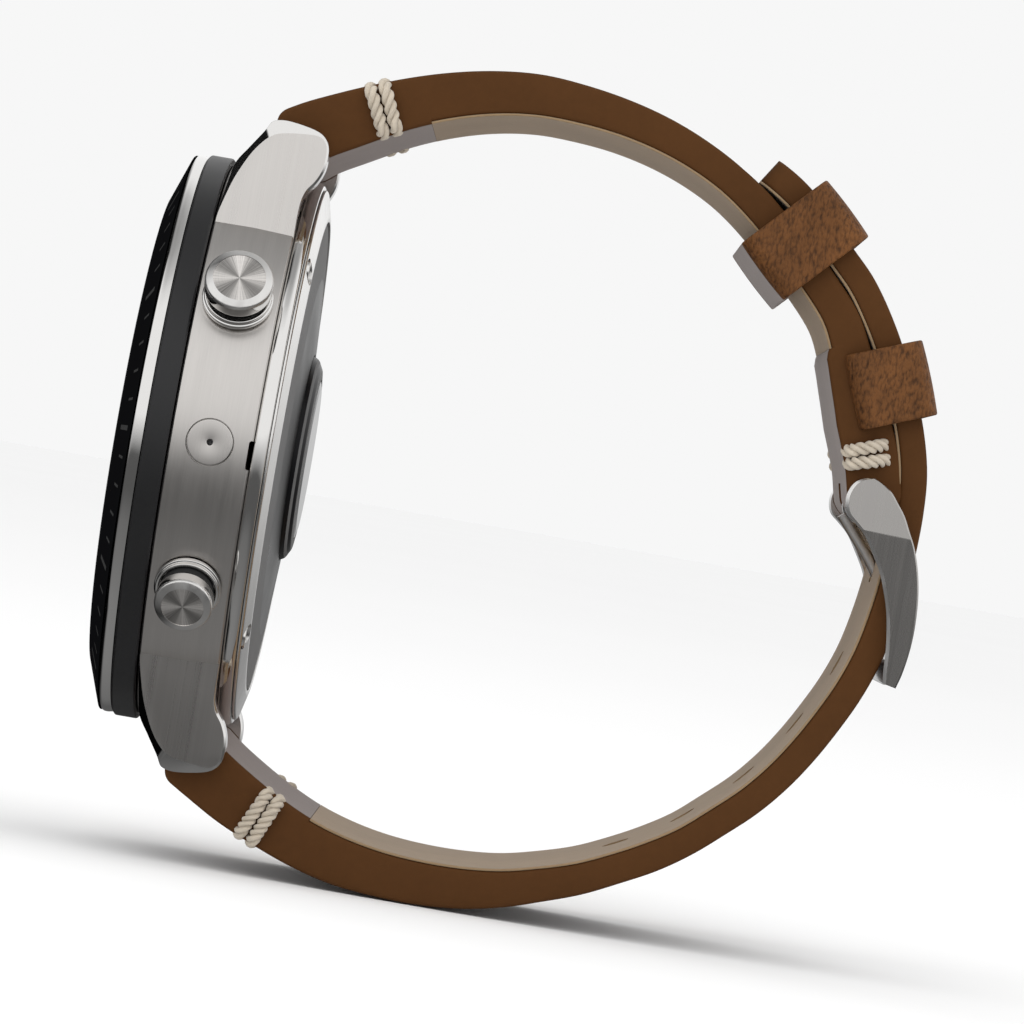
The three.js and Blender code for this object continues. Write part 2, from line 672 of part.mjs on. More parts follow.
function buckleFrame() {
  const bevel = 0.25;
  const arms = [-1, 1].map((side) => {
    const [x0, x1] = side > 0 ? [ARM_INNER_X, ARM_OUTER_X] : [-ARM_OUTER_X, -ARM_INNER_X];
    return alongX(armOutline(), x0, x1, bevel);
  });
  const crossBar = shapeOf([[48.4, -8.1], [48.95, -7.8], [49.1, -9.6], [48.5, -9.9]]);
  const whole = join(...arms, alongX(crossBar, -ARM_OUTER_X + 0.3, ARM_OUTER_X - 0.3));
  const pinHoles = [-1, 1].map((side) => {
    const [x0, x1] = side > 0 ? [ARM_INNER_X - 1, TIP_END_X + 0.4] : [-TIP_END_X - 0.4, 1 - ARM_INNER_X];
    return pinAlongX(TIP_HOLE_RADIUS, x0, x1, PIN_Y, PIN_Z);
  });
  return subtract(whole, ...pinHoles);
}

function tongueRod(halfWidth, halfThickness) {
  const curve = new THREE.SplineCurve(TONGUE_LINE.map(([y, z]) => new THREE.Vector2(y, z)));
  const near = [];
  const far = [];
  const steps = 14;
  for (let step = 0; step <= steps; step += 1) {
    const point = curve.getPoint(step / steps);
    const tangent = curve.getTangent(step / steps);
    near.push([point.x - tangent.y * halfThickness, point.y + tangent.x * halfThickness]);
    far.push([point.x + tangent.y * halfThickness, point.y - tangent.x * halfThickness]);
  }
  return alongX(shapeOf([...far, ...near.reverse()]), -halfWidth, halfWidth);
}

function buckleTongue() {
  const loop = pinAlongX(1.65, -TONGUE_HALF_WIDTH, TONGUE_HALF_WIDTH, PIN_Y, PIN_Z, 24);
  const rod = tongueRod(TONGUE_HALF_WIDTH, TONGUE_HALF_THICKNESS);
  return subtract(join(loop, rod), pinAlongX(0.95, -3, 3, PIN_Y, PIN_Z, 20));
}

// The room that the tongue needs in the strap through its whole lift.
function tongueRoom() {
  const lifts = [0, 0.25, 0.5, 0.75, 1].map((share) => {
    const angle = THREE.MathUtils.degToRad(share * 2 * BUCKLE_LIFT_DEG);
    const rod = tongueRod(TONGUE_HALF_WIDTH + 0.35, TONGUE_HALF_THICKNESS + 0.35);
    rod.translate(0, -PIN_Y, -PIN_Z).rotateX(angle).translate(0, PIN_Y, PIN_Z);
    return rod;
  });
  return join(...lifts);
}

// ---- Keepers ----

// Before it is placed, a keeper's height lies along Y and the strap's run along Z.
function placeKeeper(geometry, keeper) {
  return geometry.rotateX(keeper.angle).translate(0, keeper.y, keeper.z);
}

// A keeper section in (x, height), where height runs along the outward normal.
function extrudeKeeper(shape, length) {
  const geometry = new THREE.ExtrudeGeometry(shape, { depth: length, bevelEnabled: false });
  // Shape X stays X, shape Y becomes the normal (+Y before turning), and depth runs along Z.
  return geometry.translate(0, 0, -length / 2);
}

function freeKeeper() {
  const { bottom, top, length } = FREE_KEEPER;
  const half = STRAP_HALF_WIDTH + 0.35;
  const outside = shapeOf([
    [-half - KEEPER_WALL, bottom], [half + KEEPER_WALL, bottom],
    [half + KEEPER_WALL, top], [-half - KEEPER_WALL, top],
  ]);
  const hole = new THREE.Path([
    new THREE.Vector2(-half, bottom + KEEPER_WALL), new THREE.Vector2(-half, top - KEEPER_WALL),
    new THREE.Vector2(half, top - KEEPER_WALL), new THREE.Vector2(half, bottom + KEEPER_WALL),
  ]);
  outside.holes.push(hole);
  return placeKeeper(extrudeKeeper(outside, length), FREE_KEEPER);
}

function fixedKeeper() {
  const half = STRAP_HALF_WIDTH + 0.3;
  const full = half + KEEPER_WALL;
  const { top, length } = FIXED_KEEPER;
  const tuck = half - KEEPER_TUCK;
  const section = shapeOf([
    [tuck, 0], [full, 0], [full, top], [-full, top], [-full, 0], [-tuck, 0],
    [-tuck, TUCK_HEIGHT], [-half, TUCK_HEIGHT], [-half, top - KEEPER_WALL],
    [half, top - KEEPER_WALL], [half, TUCK_HEIGHT], [tuck, TUCK_HEIGHT],
  ]);
  return placeKeeper(extrudeKeeper(section, length), FIXED_KEEPER);
}

function tuckRoom(side) {
  const depth = KEEPER_TUCK + 1;
  const x = side * (STRAP_HALF_WIDTH + 0.3 - KEEPER_TUCK - 0.1 + depth / 2);
  const room = box(depth, TUCK_HEIGHT + 0.2, FIXED_KEEPER.length + 0.3, x, TUCK_HEIGHT / 2, 0);
  return placeKeeper(room, FIXED_KEEPER);
}

// ---- Stitches ----

// Two turns of thick rope round one edge of the strap. They run over the inner face, and over
// the outer face too unless the strap's other half lies on it.
function edgeStitch(path, distance, side, overOuterFace) {
  const place = path.at(distance);
  const clear = ROPE_RADIUS + 0.08;
  const corner = clear * 0.75;
  const face = place.thickness / 2;
  const inboard = STRAP_HALF_WIDTH - 2.2;
  const edge = STRAP_HALF_WIDTH;
  const overFace = [[inboard, face + clear], [edge, face + clear], [edge + corner, face + corner]];
  const route = [
    ...(overOuterFace ? overFace : []), [edge + clear, face - 0.2], [edge + clear, 0.2 - face],
    [edge + corner, -face - corner], [edge, -face - clear], [inboard, -face - clear],
  ];
  const section = new THREE.Shape();
  section.absarc(0, 0, ROPE_RADIUS, 0, 2 * Math.PI, false);
  const turns = [-1, 1].map((shift) => {
    const along = shift * ROPE_RADIUS * 0.95;
    const places = route.map(([x, height]) => new THREE.Vector3(side * x, height, along));
    return new THREE.ExtrudeGeometry(section, {
      steps: 12,
      bevelEnabled: false,
      curveSegments: 3,
      extrudePath: new THREE.CatmullRomCurve3(places, false, "centripetal"),
    });
  });
  const normalAngle = Math.atan2(place.normalZ, place.normalY);
  return join(...turns).rotateX(normalAngle).translate(0, place.y, place.z);
}

function strapPieces() {
  const shortLiningEnd = distanceNear(shortPath, 40.9, 16.4);
  const pinEnd = shortPath.length;
  const tongueNotch = pinAlongX(2.6, -TONGUE_HALF_WIDTH - 0.6, TONGUE_HALF_WIDTH + 0.6, PIN_Y, PIN_Z, 24);
  const barTunnel = (y, z) => pinAlongX(TUNNEL_RADIUS, -20, 20, y, z);
  const shortWhole = join(
    band(shortPath, 0, pinEnd, innerFace, outerFace),
    pinAlongX(LUG_WRAP_RADIUS, -STRAP_HALF_WIDTH, STRAP_HALF_WIDTH, LUG_BAR_Y, LUG_BAR_Z, 32),
    pinAlongX(PIN_WRAP_RADIUS, -STRAP_HALF_WIDTH, STRAP_HALF_WIDTH, PIN_Y, PIN_Z, 24),
  );
  const shortLeather = subtract(
    shortWhole,
    barTunnel(LUG_BAR_Y, LUG_BAR_Z), barTunnel(PIN_Y, PIN_Z), tongueNotch,
    liningRoom(shortPath, TURN_BACK, shortLiningEnd), tuckRoom(1), tuckRoom(-1),
  );
  const longWhole = join(
    band(longPath, 0, longPath.length, innerFace, outerFace),
    pinAlongX(LUG_WRAP_RADIUS, -STRAP_HALF_WIDTH, STRAP_HALF_WIDTH, LUG_BAR_Y, -LUG_BAR_Z, 32),
  );
  const usedHole = distanceNear(longPath, 47.9, -3.4);
  const spareHoles = [-5, -4, -3, -2, -1].map((step) =>
    strapHole(longPath, usedHole + step * HOLE_PITCH, HOLE_LENGTH, HOLE_WIDTH));
  const tongueSlot = tongueRoom();
  const longLeather = subtract(
    longWhole,
    barTunnel(LUG_BAR_Y, -LUG_BAR_Z), ...spareHoles, tongueSlot,
    liningRoom(longPath, TURN_BACK, longPath.length + 1),
  );
  const longLining = subtract(
    liningBand(longPath, TURN_BACK, longPath.length), ...spareHoles, tongueSlot);
  const pinStitch = distanceNear(shortPath, 44.2, 8.0);
  const stitches = [
    ["12_right", shortPath, LUG_STITCH, 1, true], ["12_left", shortPath, LUG_STITCH, -1, true],
    ["6_right", longPath, LUG_STITCH, 1, true], ["6_left", longPath, LUG_STITCH, -1, true],
    ["buckle_right", shortPath, pinStitch, 1, false], ["buckle_left", shortPath, pinStitch, -1, false],
  ].map(([label, path, distance, side, overOuterFace]) =>
    piece("stitch_" + label, edgeStitch(path, distance, side, overOuterFace), ROPE));
  return [
    piece("strap_12_leather", shortLeather, LEATHER),
    piece("strap_12_lining", liningBand(shortPath, TURN_BACK, shortLiningEnd), LINING),
    piece("strap_6_leather", longLeather, LEATHER),
    piece("strap_6_lining", longLining, LINING),
    piece("fixed_keeper", fixedKeeper(), GRAINED),
    piece("free_keeper", freeKeeper(), GRAINED),
    ...stitches,
  ];
}

// ---- Assembly ----

const watch = new THREE.Group();
watch.add(
  piece("mid_case", midCase(), STEEL),
  piece("mic_disc", micDisc(), STEEL),
  ...frontPieces(),
  ...backPieces(),
  ...insidePieces(),
  pusher("2", 1, 2.7, 2.8),
  pusher("4", -1, 2.3, 2.65),
  ...springBar("12", LUG_BAR_Y, LUG_BAR_Z),
  ...springBar("6", LUG_BAR_Y, -LUG_BAR_Z),
  ...springBar("buckle", PIN_Y, PIN_Z),
  ...strapPieces(),
  piece("buckle_frame", buckleFrame(), STEEL),
  piece("buckle_tongue", buckleTongue(), POLISHED),
);

export default watch;
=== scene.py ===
"""A 46 mm smartwatch on a buckled leather strap, dressed over its CAD frame.

Metres. +X points to 3 o'clock (the two pushers), +Z to 12 o'clock, and the display faces -Y.
"""

import bmesh
import bpy
import numpy as np
from bpy.props import FloatProperty, FloatVectorProperty, PointerProperty
from bpy.types import Operator, Panel, PropertyGroup
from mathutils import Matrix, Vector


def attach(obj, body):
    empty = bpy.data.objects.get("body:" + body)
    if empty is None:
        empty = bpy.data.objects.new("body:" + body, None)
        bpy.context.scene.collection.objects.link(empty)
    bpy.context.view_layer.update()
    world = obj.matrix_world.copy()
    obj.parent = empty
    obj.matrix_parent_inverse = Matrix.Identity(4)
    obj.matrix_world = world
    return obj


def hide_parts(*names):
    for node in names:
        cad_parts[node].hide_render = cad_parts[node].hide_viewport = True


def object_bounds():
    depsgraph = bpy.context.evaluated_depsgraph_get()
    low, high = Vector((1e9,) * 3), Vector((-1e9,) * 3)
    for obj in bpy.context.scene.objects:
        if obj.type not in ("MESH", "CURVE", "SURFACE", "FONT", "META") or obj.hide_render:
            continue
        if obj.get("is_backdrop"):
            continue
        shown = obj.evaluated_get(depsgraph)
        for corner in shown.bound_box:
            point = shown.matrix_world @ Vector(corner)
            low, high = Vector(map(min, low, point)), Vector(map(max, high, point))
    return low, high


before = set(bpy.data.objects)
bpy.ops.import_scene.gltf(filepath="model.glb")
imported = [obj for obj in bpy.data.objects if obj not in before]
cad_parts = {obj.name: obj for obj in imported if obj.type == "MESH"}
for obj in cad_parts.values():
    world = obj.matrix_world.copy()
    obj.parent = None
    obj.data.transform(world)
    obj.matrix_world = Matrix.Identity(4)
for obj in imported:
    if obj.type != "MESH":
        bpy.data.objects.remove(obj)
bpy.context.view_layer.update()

bl_info = {
    "name": "Strap smartwatch",
    "version": (1, 0, 0),
    "blender": (4, 5, 0),
    "location": "3D View > Sidebar > Watch",
    "description": "Builds the case, pushers, strap and buckle of a smartwatch over its CAD frame",
    "category": "Object",
}

MM = 0.001

# Places along Y from the sensor window towards the display, in millimetres.
GLASS_FRONT = -14.6
INSERT_BACK = -13.15
BEZEL_BACK = -12.1
ACCENT_BACK = -10.15
CASE_FRONT = -10.05
CASE_BACK = -3.6
REAR_BAND_BACK = -2.45
BACK_RING_BACK = -1.7
CAVITY_RADIUS = 19.6
PLATE_RADIUS = 19.3
SCREW_CIRCLE = 20.7
PUSHER_Y = -6.85
LUG_BAR = (-5.7, 24.2)
PIN = (45.1, 4.1)
BUCKLE_LIFT = 7.0  # degrees that the frame lifts, and the tongue again on its own
TONGUE_ROOM = 0.3  # free space round the tongue in its strap hole
FREE_KEEPER_PLACE, FREE_KEEPER_TURN = (35.35, 22.95), 46.5
FIXED_KEEPER_PLACE, FIXED_KEEPER_TURN = (42.29, 12.69), 21.5

# Each strap half's middle line from its lug bar, as (y, z, thickness).
SHORT_HALF = [
    (-5.7, 24.3, 5.0), (-3.6, 25.9, 4.8), (-1.0, 27.3, 4.6), (3.0, 29.2, 4.1), (6.6, 30.5, 3.8),
    (10.1, 31.35, 3.6), (13.6, 31.75, 3.45), (17.1, 31.6, 3.25), (20.5, 31.15, 3.05),
    (23.8, 30.35, 2.9), (26.9, 29.2, 2.75), (29.9, 27.65, 2.65), (32.7, 25.6, 2.6),
    (35.4, 23.1, 2.6), (38.1, 20.55, 2.6), (40.0, 18.3, 2.6), (41.2, 15.9, 2.7),
    (42.2, 13.3, 2.9), (43.2, 10.7, 3.2), (44.2, 8.0, 3.6), (45.0, 4.9, 3.7),
]
LONG_HALF = [
    (-5.7, -24.3, 5.0), (-3.6, -25.9, 4.8), (-1.2, -27.4, 4.7), (1.7, -28.85, 4.4),
    (5.0, -30.2, 4.15), (8.3, -31.1, 4.0), (11.6, -31.55, 3.75), (14.9, -31.7, 3.6),
    (18.1, -31.55, 3.4), (21.3, -31.05, 3.1), (24.3, -30.2, 2.85), (27.25, -29.2, 2.7),
    (30.0, -27.9, 2.6), (32.7, -26.45, 2.6), (35.15, -24.8, 2.5), (37.4, -22.85, 2.5),
    (39.6, -20.8, 2.5), (41.5, -18.55, 2.5), (43.15, -16.1, 2.5), (44.6, -13.5, 2.5),
    (45.85, -10.9, 2.5), (46.85, -8.1, 2.5), (47.5, -5.2, 2.5), (47.95, -2.2, 2.5),
    (48.2, 1.0, 2.4), (48.3, 4.1, 2.3), (48.05, 7.2, 2.3), (47.15, 10.6, 2.3),
    (45.75, 14.0, 2.3), (43.8, 17.8, 2.3), (41.5, 21.2, 2.3), (39.4, 23.35, 2.3),
    (37.8, 25.1, 2.35), (35.3, 27.35, 2.4), (32.68, 29.05, 2.4),
]

# A 12 o'clock lug, from the case round the tip and back: places on its side facet in (y, z), and
# the places on its body that the bevel runs down to from each of them.
LUG_FACET = [
    (-9.95, 16.4), (-9.95, 17.6), (-9.55, 19.4), (-9.12, 20.9), (-8.72, 21.9), (-8.14, 23.1),
    (-7.62, 23.9), (-7.0, 24.6), (-6.4, 25.0), (-5.6, 25.2), (-4.4, 25.35), (-3.2, 25.4),
    (-2.7, 25.2), (-2.35, 24.7), (-2.25, 23.9), (-2.35, 22.8), (-2.75, 21.8), (-3.3, 21.0),
    (-3.55, 20.3), (-3.66, 19.4), (-3.66, 16.4),
]
LUG_BODY = [
    (-9.97, 16.4), (-9.97, 17.7), (-9.74, 19.6), (-9.5, 21.2), (-9.22, 22.33), (-8.45, 23.53),
    (-7.85, 24.45), (-7.3, 25.3), (-6.88, 25.97), (-6.1, 26.19), (-4.9, 26.12), (-3.2, 25.75),
    (-2.6, 25.38), (-2.2, 24.78), (-2.08, 23.9), (-2.18, 22.75), (-2.6, 21.7), (-3.18, 20.85),
    (-3.47, 20.2), (-3.58, 19.35), (-3.63, 16.4),
]
# The middle of the buckle tongue in (y, z), from the bar through the strap to the cross bar.
TONGUE_LINE = [(43.6, 3.1), (45.2, 1.25), (46.75, -0.65), (48.5, -3.6), (49.6, -6.7), (49.95, -9.9)]

# The edges of a buckle arm in (y, z), from the top of its lobe to its lower end.
ARM_INNER_EDGE = [
    (44.95, 6.2), (44.2, 6.08), (43.55, 5.7), (43.12, 4.95), (43.0, 4.18), (43.27, 3.2), (44.05, 2.5),
    (44.93, 1.7), (45.78, 0.44), (46.66, -1.06), (47.21, -2.41), (47.76, -4.16), (48.22, -6.96),
    (48.32, -8.61), (48.43, -9.71),
]
ARM_OUTER_EDGE = [
    (45.05, 6.2), (45.6, 5.98), (46.1, 5.68), (46.57, 5.31), (47.15, 4.59), (47.84, 3.68), (48.43, 2.54),
    (49.01, 1.41), (49.44, 0.25), (49.81, -1.13), (50.05, -2.53), (50.2, -4.56), (50.15, -6.62),
    (49.85, -8.76), (49.54, -9.93),
]


# ---- Sizes and colours ----


def length(label, description, millimetres):
    return FloatProperty(
        name=label, description=description, default=millimetres * MM, min=0.0, unit="LENGTH", precision=5
    )


def colour(label, description, value):
    return FloatVectorProperty(
        name=label, description=description, default=value, size=3, min=0.0, max=1.0, subtype="COLOR"
    )


class WatchCaseSizes(PropertyGroup):
    glass_radius: length("Glass radius", "Radius of the front glass", 19.2)
    insert_radius: length("Insert radius", "Outer radius of the black bezel insert", 22.9)
    bezel_radius: length("Bezel radius", "Outer radius of the polished bezel ring", 23.0)
    accent_radius: length("Band radius", "Outer radius of the dark band", 23.15)
    case_radius: length("Case radius", "Outer radius of the brushed middle case", 22.7)
    rear_radius: length("Rear band radius", "Outer radius of the polished rear band", 22.4)
    back_radius: length("Back ring radius", "Outer radius of the sloped back ring", 21.9)
    sensor_radius: length("Sensor radius", "Radius of the raised sensor bezel", 8.4)
    lug_inner: length("Lug inner side", "Distance of the lugs' inner sides from the middle", 11.3)
    lug_outer: length("Lug outer side", "Distance of the lugs' sides from the middle, at the case", 14.62)
    lug_bevel: length("Lug bevel", "Greatest depth of the polished bevel round a lug's facet", 0.8)
    lug_lean: FloatProperty(
        name="Lug lean", description="How far a lug's facet leans in towards its tip",
        default=0.122, subtype="ANGLE",
    )


class WatchStrapSizes(PropertyGroup):
    half_width: length("Half width", "Half of the strap's width", 11.0)
    edge_round: length("Edge rounding", "Radius on the strap's long edges", 0.32)
    lining: length("Lining thickness", "Thickness of the beige lining", 0.2)
    hole_pitch: length("Hole pitch", "Distance between the strap's holes", 6.2)
    hole_length: length("Hole length", "Length of a hole along the strap", 1.9)
    hole_width: length("Hole width", "Width of a hole across the strap", 2.3)
    rope: length("Rope radius", "Radius of the stitched rope", 0.55)
    rope_twist: length("Rope twist", "Length of one full twist of the rope's strands", 2.3)
    keeper_wall: length("Keeper wall", "Thickness of the keepers' leather", 1.0)


class WatchBuckleSizes(PropertyGroup):
    arm_inner: length("Arm inner side", "Distance of the arms' inner sides from the middle", 11.35)
    arm_outer: length("Arm outer side", "Distance of the arms' outer sides from the middle at the fold", 13.3)
    arm_bevel: length("Arm bevel", "Width of the polished bevel round an arm", 0.13)
    tongue_width: length("Tongue width", "Width of the buckle tongue", 1.6)


class WatchColours(PropertyGroup):
    steel: colour("Brushed steel", "Colour of the brushed steel", (0.66, 0.635, 0.61))
    polished: colour("Polished steel", "Colour of the polished steel", (0.78, 0.77, 0.755))
    black: colour("Black", "Colour of the glass and the bezel insert", (0.004, 0.004, 0.0045))
    band: colour("Dark band", "Colour of the satin band", (0.016, 0.016, 0.017))
    back: colour("Back grey", "Colour of the back cover", (0.13, 0.13, 0.132))
    edge: colour("Leather edge", "Colour of the strap's sides", (0.08, 0.0325, 0.0098))
    leather: colour("Leather", "Colour of the strap's outer face", (0.088, 0.036, 0.014))
    keeper: colour("Keeper leather", "Colour of the keepers", (0.122, 0.047, 0.0125))
    flesh: colour("Turned leather", "Colour of the leather's turned back inner side", (0.155, 0.112, 0.098))
    lining: colour("Lining", "Colour of the lining", (0.275, 0.185, 0.1))
    rope: colour("Rope", "Colour of the stitched rope", (0.56, 0.49, 0.395))


class WatchStageSizes(PropertyGroup):
    floor_radius: FloatProperty(
        name="Floor radius", description="Radius of the round floor", default=9.0, min=1.0, unit="LENGTH"
    )
    floor: colour("Floor", "Colour of the floor", (0.95, 0.95, 0.95))
    lens: FloatProperty(
        name="Lens", description="Focal length of the camera", default=203.3, min=20.0, unit="CAMERA"
    )
    sky: FloatProperty(name="Sky", description="Brightness of the light all round", default=0.95, min=0.0)
    key: FloatProperty(
        name="Key light", description="Power of the large light above", default=3.5, min=0.0, unit="POWER"
    )


# ---- Shapes ----


def mm(value):
    """A property in metres as millimetres."""
    return value / MM


def rounded(corners, radius, steps=4, closed=True):
    """A polyline with its corners rounded.

    Each corner C is cut back by radius along both sides, to A and B, and the points between
    are (1-t)^2 A + 2t(1-t) C + t^2 B. radius is one number or one for each corner.
    """
    corners = np.asarray(corners, float)
    before, after = np.roll(corners, 1, axis=0), np.roll(corners, -1, axis=0)
    back, ahead = before - corners, after - corners
    run_back = np.linalg.norm(back, axis=1, keepdims=True)
    run_ahead = np.linalg.norm(ahead, axis=1, keepdims=True)
    wanted = np.broadcast_to(np.asarray(radius, float), (len(corners),))[:, None]
    cut = np.minimum(wanted, 0.45 * np.minimum(run_back, run_ahead))
    start, end = corners + back / run_back * cut, corners + ahead / run_ahead * cut
    if not closed:
        start[0] = end[0] = corners[0]
        start[-1] = end[-1] = corners[-1]
    t = np.linspace(0, 1, steps + 1)[None, :, None]
    arcs = (1 - t) ** 2 * start[:, None] + 2 * t * (1 - t) * corners[:, None] + t**2 * end[:, None]
    points = arcs.reshape(-1, 2)
    keep = np.linalg.norm(points - np.roll(points, 1, axis=0), axis=1) > 1e-6
    keep[0] = True
    return points[keep]


def finer(points, step, closed=False):
    """A polyline with points added so that no side is longer than step."""
    points = np.asarray(points, float)
    if closed:
        points = np.vstack([points, points[:1]])
    gaps = np.linalg.norm(np.diff(points, axis=0), axis=1)
    along = np.concatenate([[0], np.cumsum(gaps)])
    extra = [np.linspace(a, b, max(1, int(np.ceil((b - a) / step))), endpoint=False)
             for a, b in zip(along[:-1], along[1:])]
    places = np.concatenate(extra + ([] if closed else [along[-1:]]))
    return np.stack([np.interp(places, along, points[:, k]) for k in range(points.shape[1])], axis=1)


def smooth_path(points, spans=16):
    """A centripetal Catmull-Rom curve through the points, as a dense polyline.

    Between P1 and P2 it is the cubic with end slopes worked out from the square root of the
    distances to the neighbours.
    """
    p = np.asarray(points, float)
    p = np.vstack([2 * p[0] - p[1], p, 2 * p[-1] - p[-2]])
    d = np.sqrt(np.linalg.norm(np.diff(p, axis=0), axis=1))[:, None]
    p0, p1, p2, p3 = p[:-3], p[1:-2], p[2:-1], p[3:]
    d0, d1, d2 = d[:-2], d[1:-1], d[2:]
    m1 = ((p1 - p0) / d0 - (p2 - p0) / (d0 + d1) + (p2 - p1) / d1) * d1
    m2 = ((p2 - p1) / d1 - (p3 - p1) / (d1 + d2) + (p3 - p2) / d2) * d1
    t = np.linspace(0, 1, spans, endpoint=False)[None, :, None]
    p1, p2, m1, m2 = p1[:, None], p2[:, None], m1[:, None], m2[:, None]
    curve = (
        p1 * (2 * t**3 - 3 * t**2 + 1) + m1 * (t**3 - 2 * t**2 + t)
        + p2 * (3 * t**2 - 2 * t**3) + m2 * (t**3 - t**2)
    )
    return np.vstack([curve.reshape(-1, p.shape[1]), p[-2:-1]])


class StrapPath:
    """A strap half's middle line, as functions of the distance s along it."""

    def __init__(self, points, outward):
        self.line = smooth_path(points)
        gaps = np.linalg.norm(np.diff(self.line[:, :2], axis=0), axis=1)
        self.along = np.concatenate([[0], np.cumsum(gaps)])
        self.length = self.along[-1]
        self.outward = outward

    def at(self, s):
        """Point, outward normal and thickness at s; past the ends the line runs straight on."""
        s = np.atleast_1d(np.asarray(s, float))
        inside = np.clip(s, 0, self.length)
        place = np.stack([np.interp(inside, self.along, self.line[:, k]) for k in range(3)], axis=1)
        low, high = np.clip(inside - 0.15, 0, None), np.clip(inside + 0.15, None, self.length)
        ahead = np.stack([np.interp(high, self.along, self.line[:, k]) for k in range(2)], axis=1)
        behind = np.stack([np.interp(low, self.along, self.line[:, k]) for k in range(2)], axis=1)
        tangent = ahead - behind
        tangent /= np.linalg.norm(tangent, axis=1, keepdims=True)
        point = place[:, :2] + tangent * (s - inside)[:, None]
        normal = self.outward * np.stack([-tangent[:, 1], tangent[:, 0]], axis=1)
        return point, normal, place[:, 2]

    def near(self, y, z):
        """The distance along the line of the place nearest (y, z)."""
        gaps = np.hypot(self.line[:, 0] - y, self.line[:, 1] - z)
        return self.along[int(np.argmin(gaps))]


SHORT_PATH = StrapPath(SHORT_HALF, 1)
LONG_PATH = StrapPath(LONG_HALF, -1)


# ---- Meshes ----


def signed_volume(points, faces):
    """Six times the volume that the faces enclose; negative when they face inwards."""
    total = 0.0
    for face in faces:
        first = points[face[:, 0]]
        for k in range(1, face.shape[1] - 1):
            total += np.einsum("ij,ij->", first, np.cross(points[face[:, k]], points[face[:, k + 1]]))
    return total


def add_mesh(name, points, face_sets, materials, indices=None, uv=None, sharp=32.0):
    """A closed mesh object from points in millimetres and arrays of equal-sized faces."""
    points = np.asarray(points, float) * MM
    face_sets = [np.asarray(faces, int) for faces in face_sets]
    if signed_volume(points, face_sets) < 0:
        face_sets = [faces[:, ::-1] for faces in face_sets]
    mesh = bpy.data.meshes.new(name)
    faces = [tuple(face) for faces in face_sets for face in faces.tolist()]
    mesh.from_pydata(points.tolist(), [], faces)
    for material in materials:
        mesh.materials.append(material)
    if indices is not None:
        mesh.polygons.foreach_set("material_index", np.asarray(indices, np.int32))
    if uv is not None:
        corners = np.empty(len(mesh.loops), np.int32)
        mesh.loops.foreach_get("vertex_index", corners)
        layer = mesh.uv_layers.new(name="surface")
        layer.data.foreach_set("uv", np.asarray(uv, np.float32)[corners].ravel())
    mesh.validate()
    mesh.shade_smooth()
    mesh.set_sharp_from_angle(angle=np.radians(sharp))
    piece = bpy.data.objects.new(name, mesh)
    bpy.context.scene.collection.objects.link(piece)
    return piece


def weld(piece):
    """Points that lie on each other, such as a pole's, become one."""
    mesh = piece.data
    work = bmesh.new()
    work.from_mesh(mesh)
    bmesh.ops.remove_doubles(work, verts=work.verts, dist=1e-7)
    work.to_mesh(mesh)
    work.free()
    return piece


def grid_faces(rows, columns, wrap_rows, wrap_columns):
    """Quads between neighbouring points of a rows by columns grid."""
    i = np.arange(rows if wrap_rows else rows - 1)
    j = np.arange(columns if wrap_columns else columns - 1)
    i, j = np.meshgrid(i, j, indexing="ij")
    i2, j2 = (i + 1) % rows, (j + 1) % columns
    corners = [i * columns + j, i2 * columns + j, i2 * columns + j2, i * columns + j2]
    return np.stack(corners, axis=-1).reshape(-1, 4)


def turned(name, profile, materials, steps=256, closed=True, axis="Y", column_index=None, uv=False,
           sharp=32.0):
    """A profile of (radius, height) turned round an axis.

    Point (i, j) is radius_j at the angle 2 pi i / steps, at height_j along the axis. An open
    profile starts and ends on the axis.
    """
    profile = np.asarray(profile, float)
    angle = np.linspace(0, 2 * np.pi, steps, endpoint=False)[:, None]
    radius, height = profile[None, :, 0], profile[None, :, 1]
    across, up = radius * np.cos(angle), radius * np.sin(angle)
    height = np.broadcast_to(height, across.shape)
    order = {"Y": (across, height, up), "X": (height, across, up)}[axis]
    points = np.stack(order, axis=-1).reshape(-1, 3)
    faces = grid_faces(steps, len(profile), True, closed)
    indices = None
    if column_index is not None:
        per_row = len(profile) if closed else len(profile) - 1
        indices = np.tile(np.asarray(column_index)[:per_row], steps)
    coordinates = None
    if uv:
        turn = np.broadcast_to(angle / (2 * np.pi), across.shape)
        coordinates = np.stack([turn, np.broadcast_to(radius, across.shape) * 0.1], axis=-1).reshape(-1, 2)
    piece = add_mesh(name, points, [faces], materials, indices, coordinates, sharp)
    return weld(piece)


def loops_mesh(name, loops, materials, indices=None, sharp=32.0, cap_materials=(0, 0)):
    """Closed loops of equal length, each joined to the next, with a flat cap on the first and last."""
    loops = np.asarray(loops, float)
    count, size = loops.shape[:2]
    sides = grid_faces(count, size, False, True)
    ring = np.arange(size)
    first, last = ring[None, :], ((count - 1) * size + ring)[None, ::-1]
    side_indices = np.zeros(len(sides), int) if indices is None else np.asarray(indices)
    all_indices = np.concatenate([side_indices, cap_materials])
    return add_mesh(name, loops.reshape(-1, 3), [sides, first, last], materials, all_indices, None, sharp)


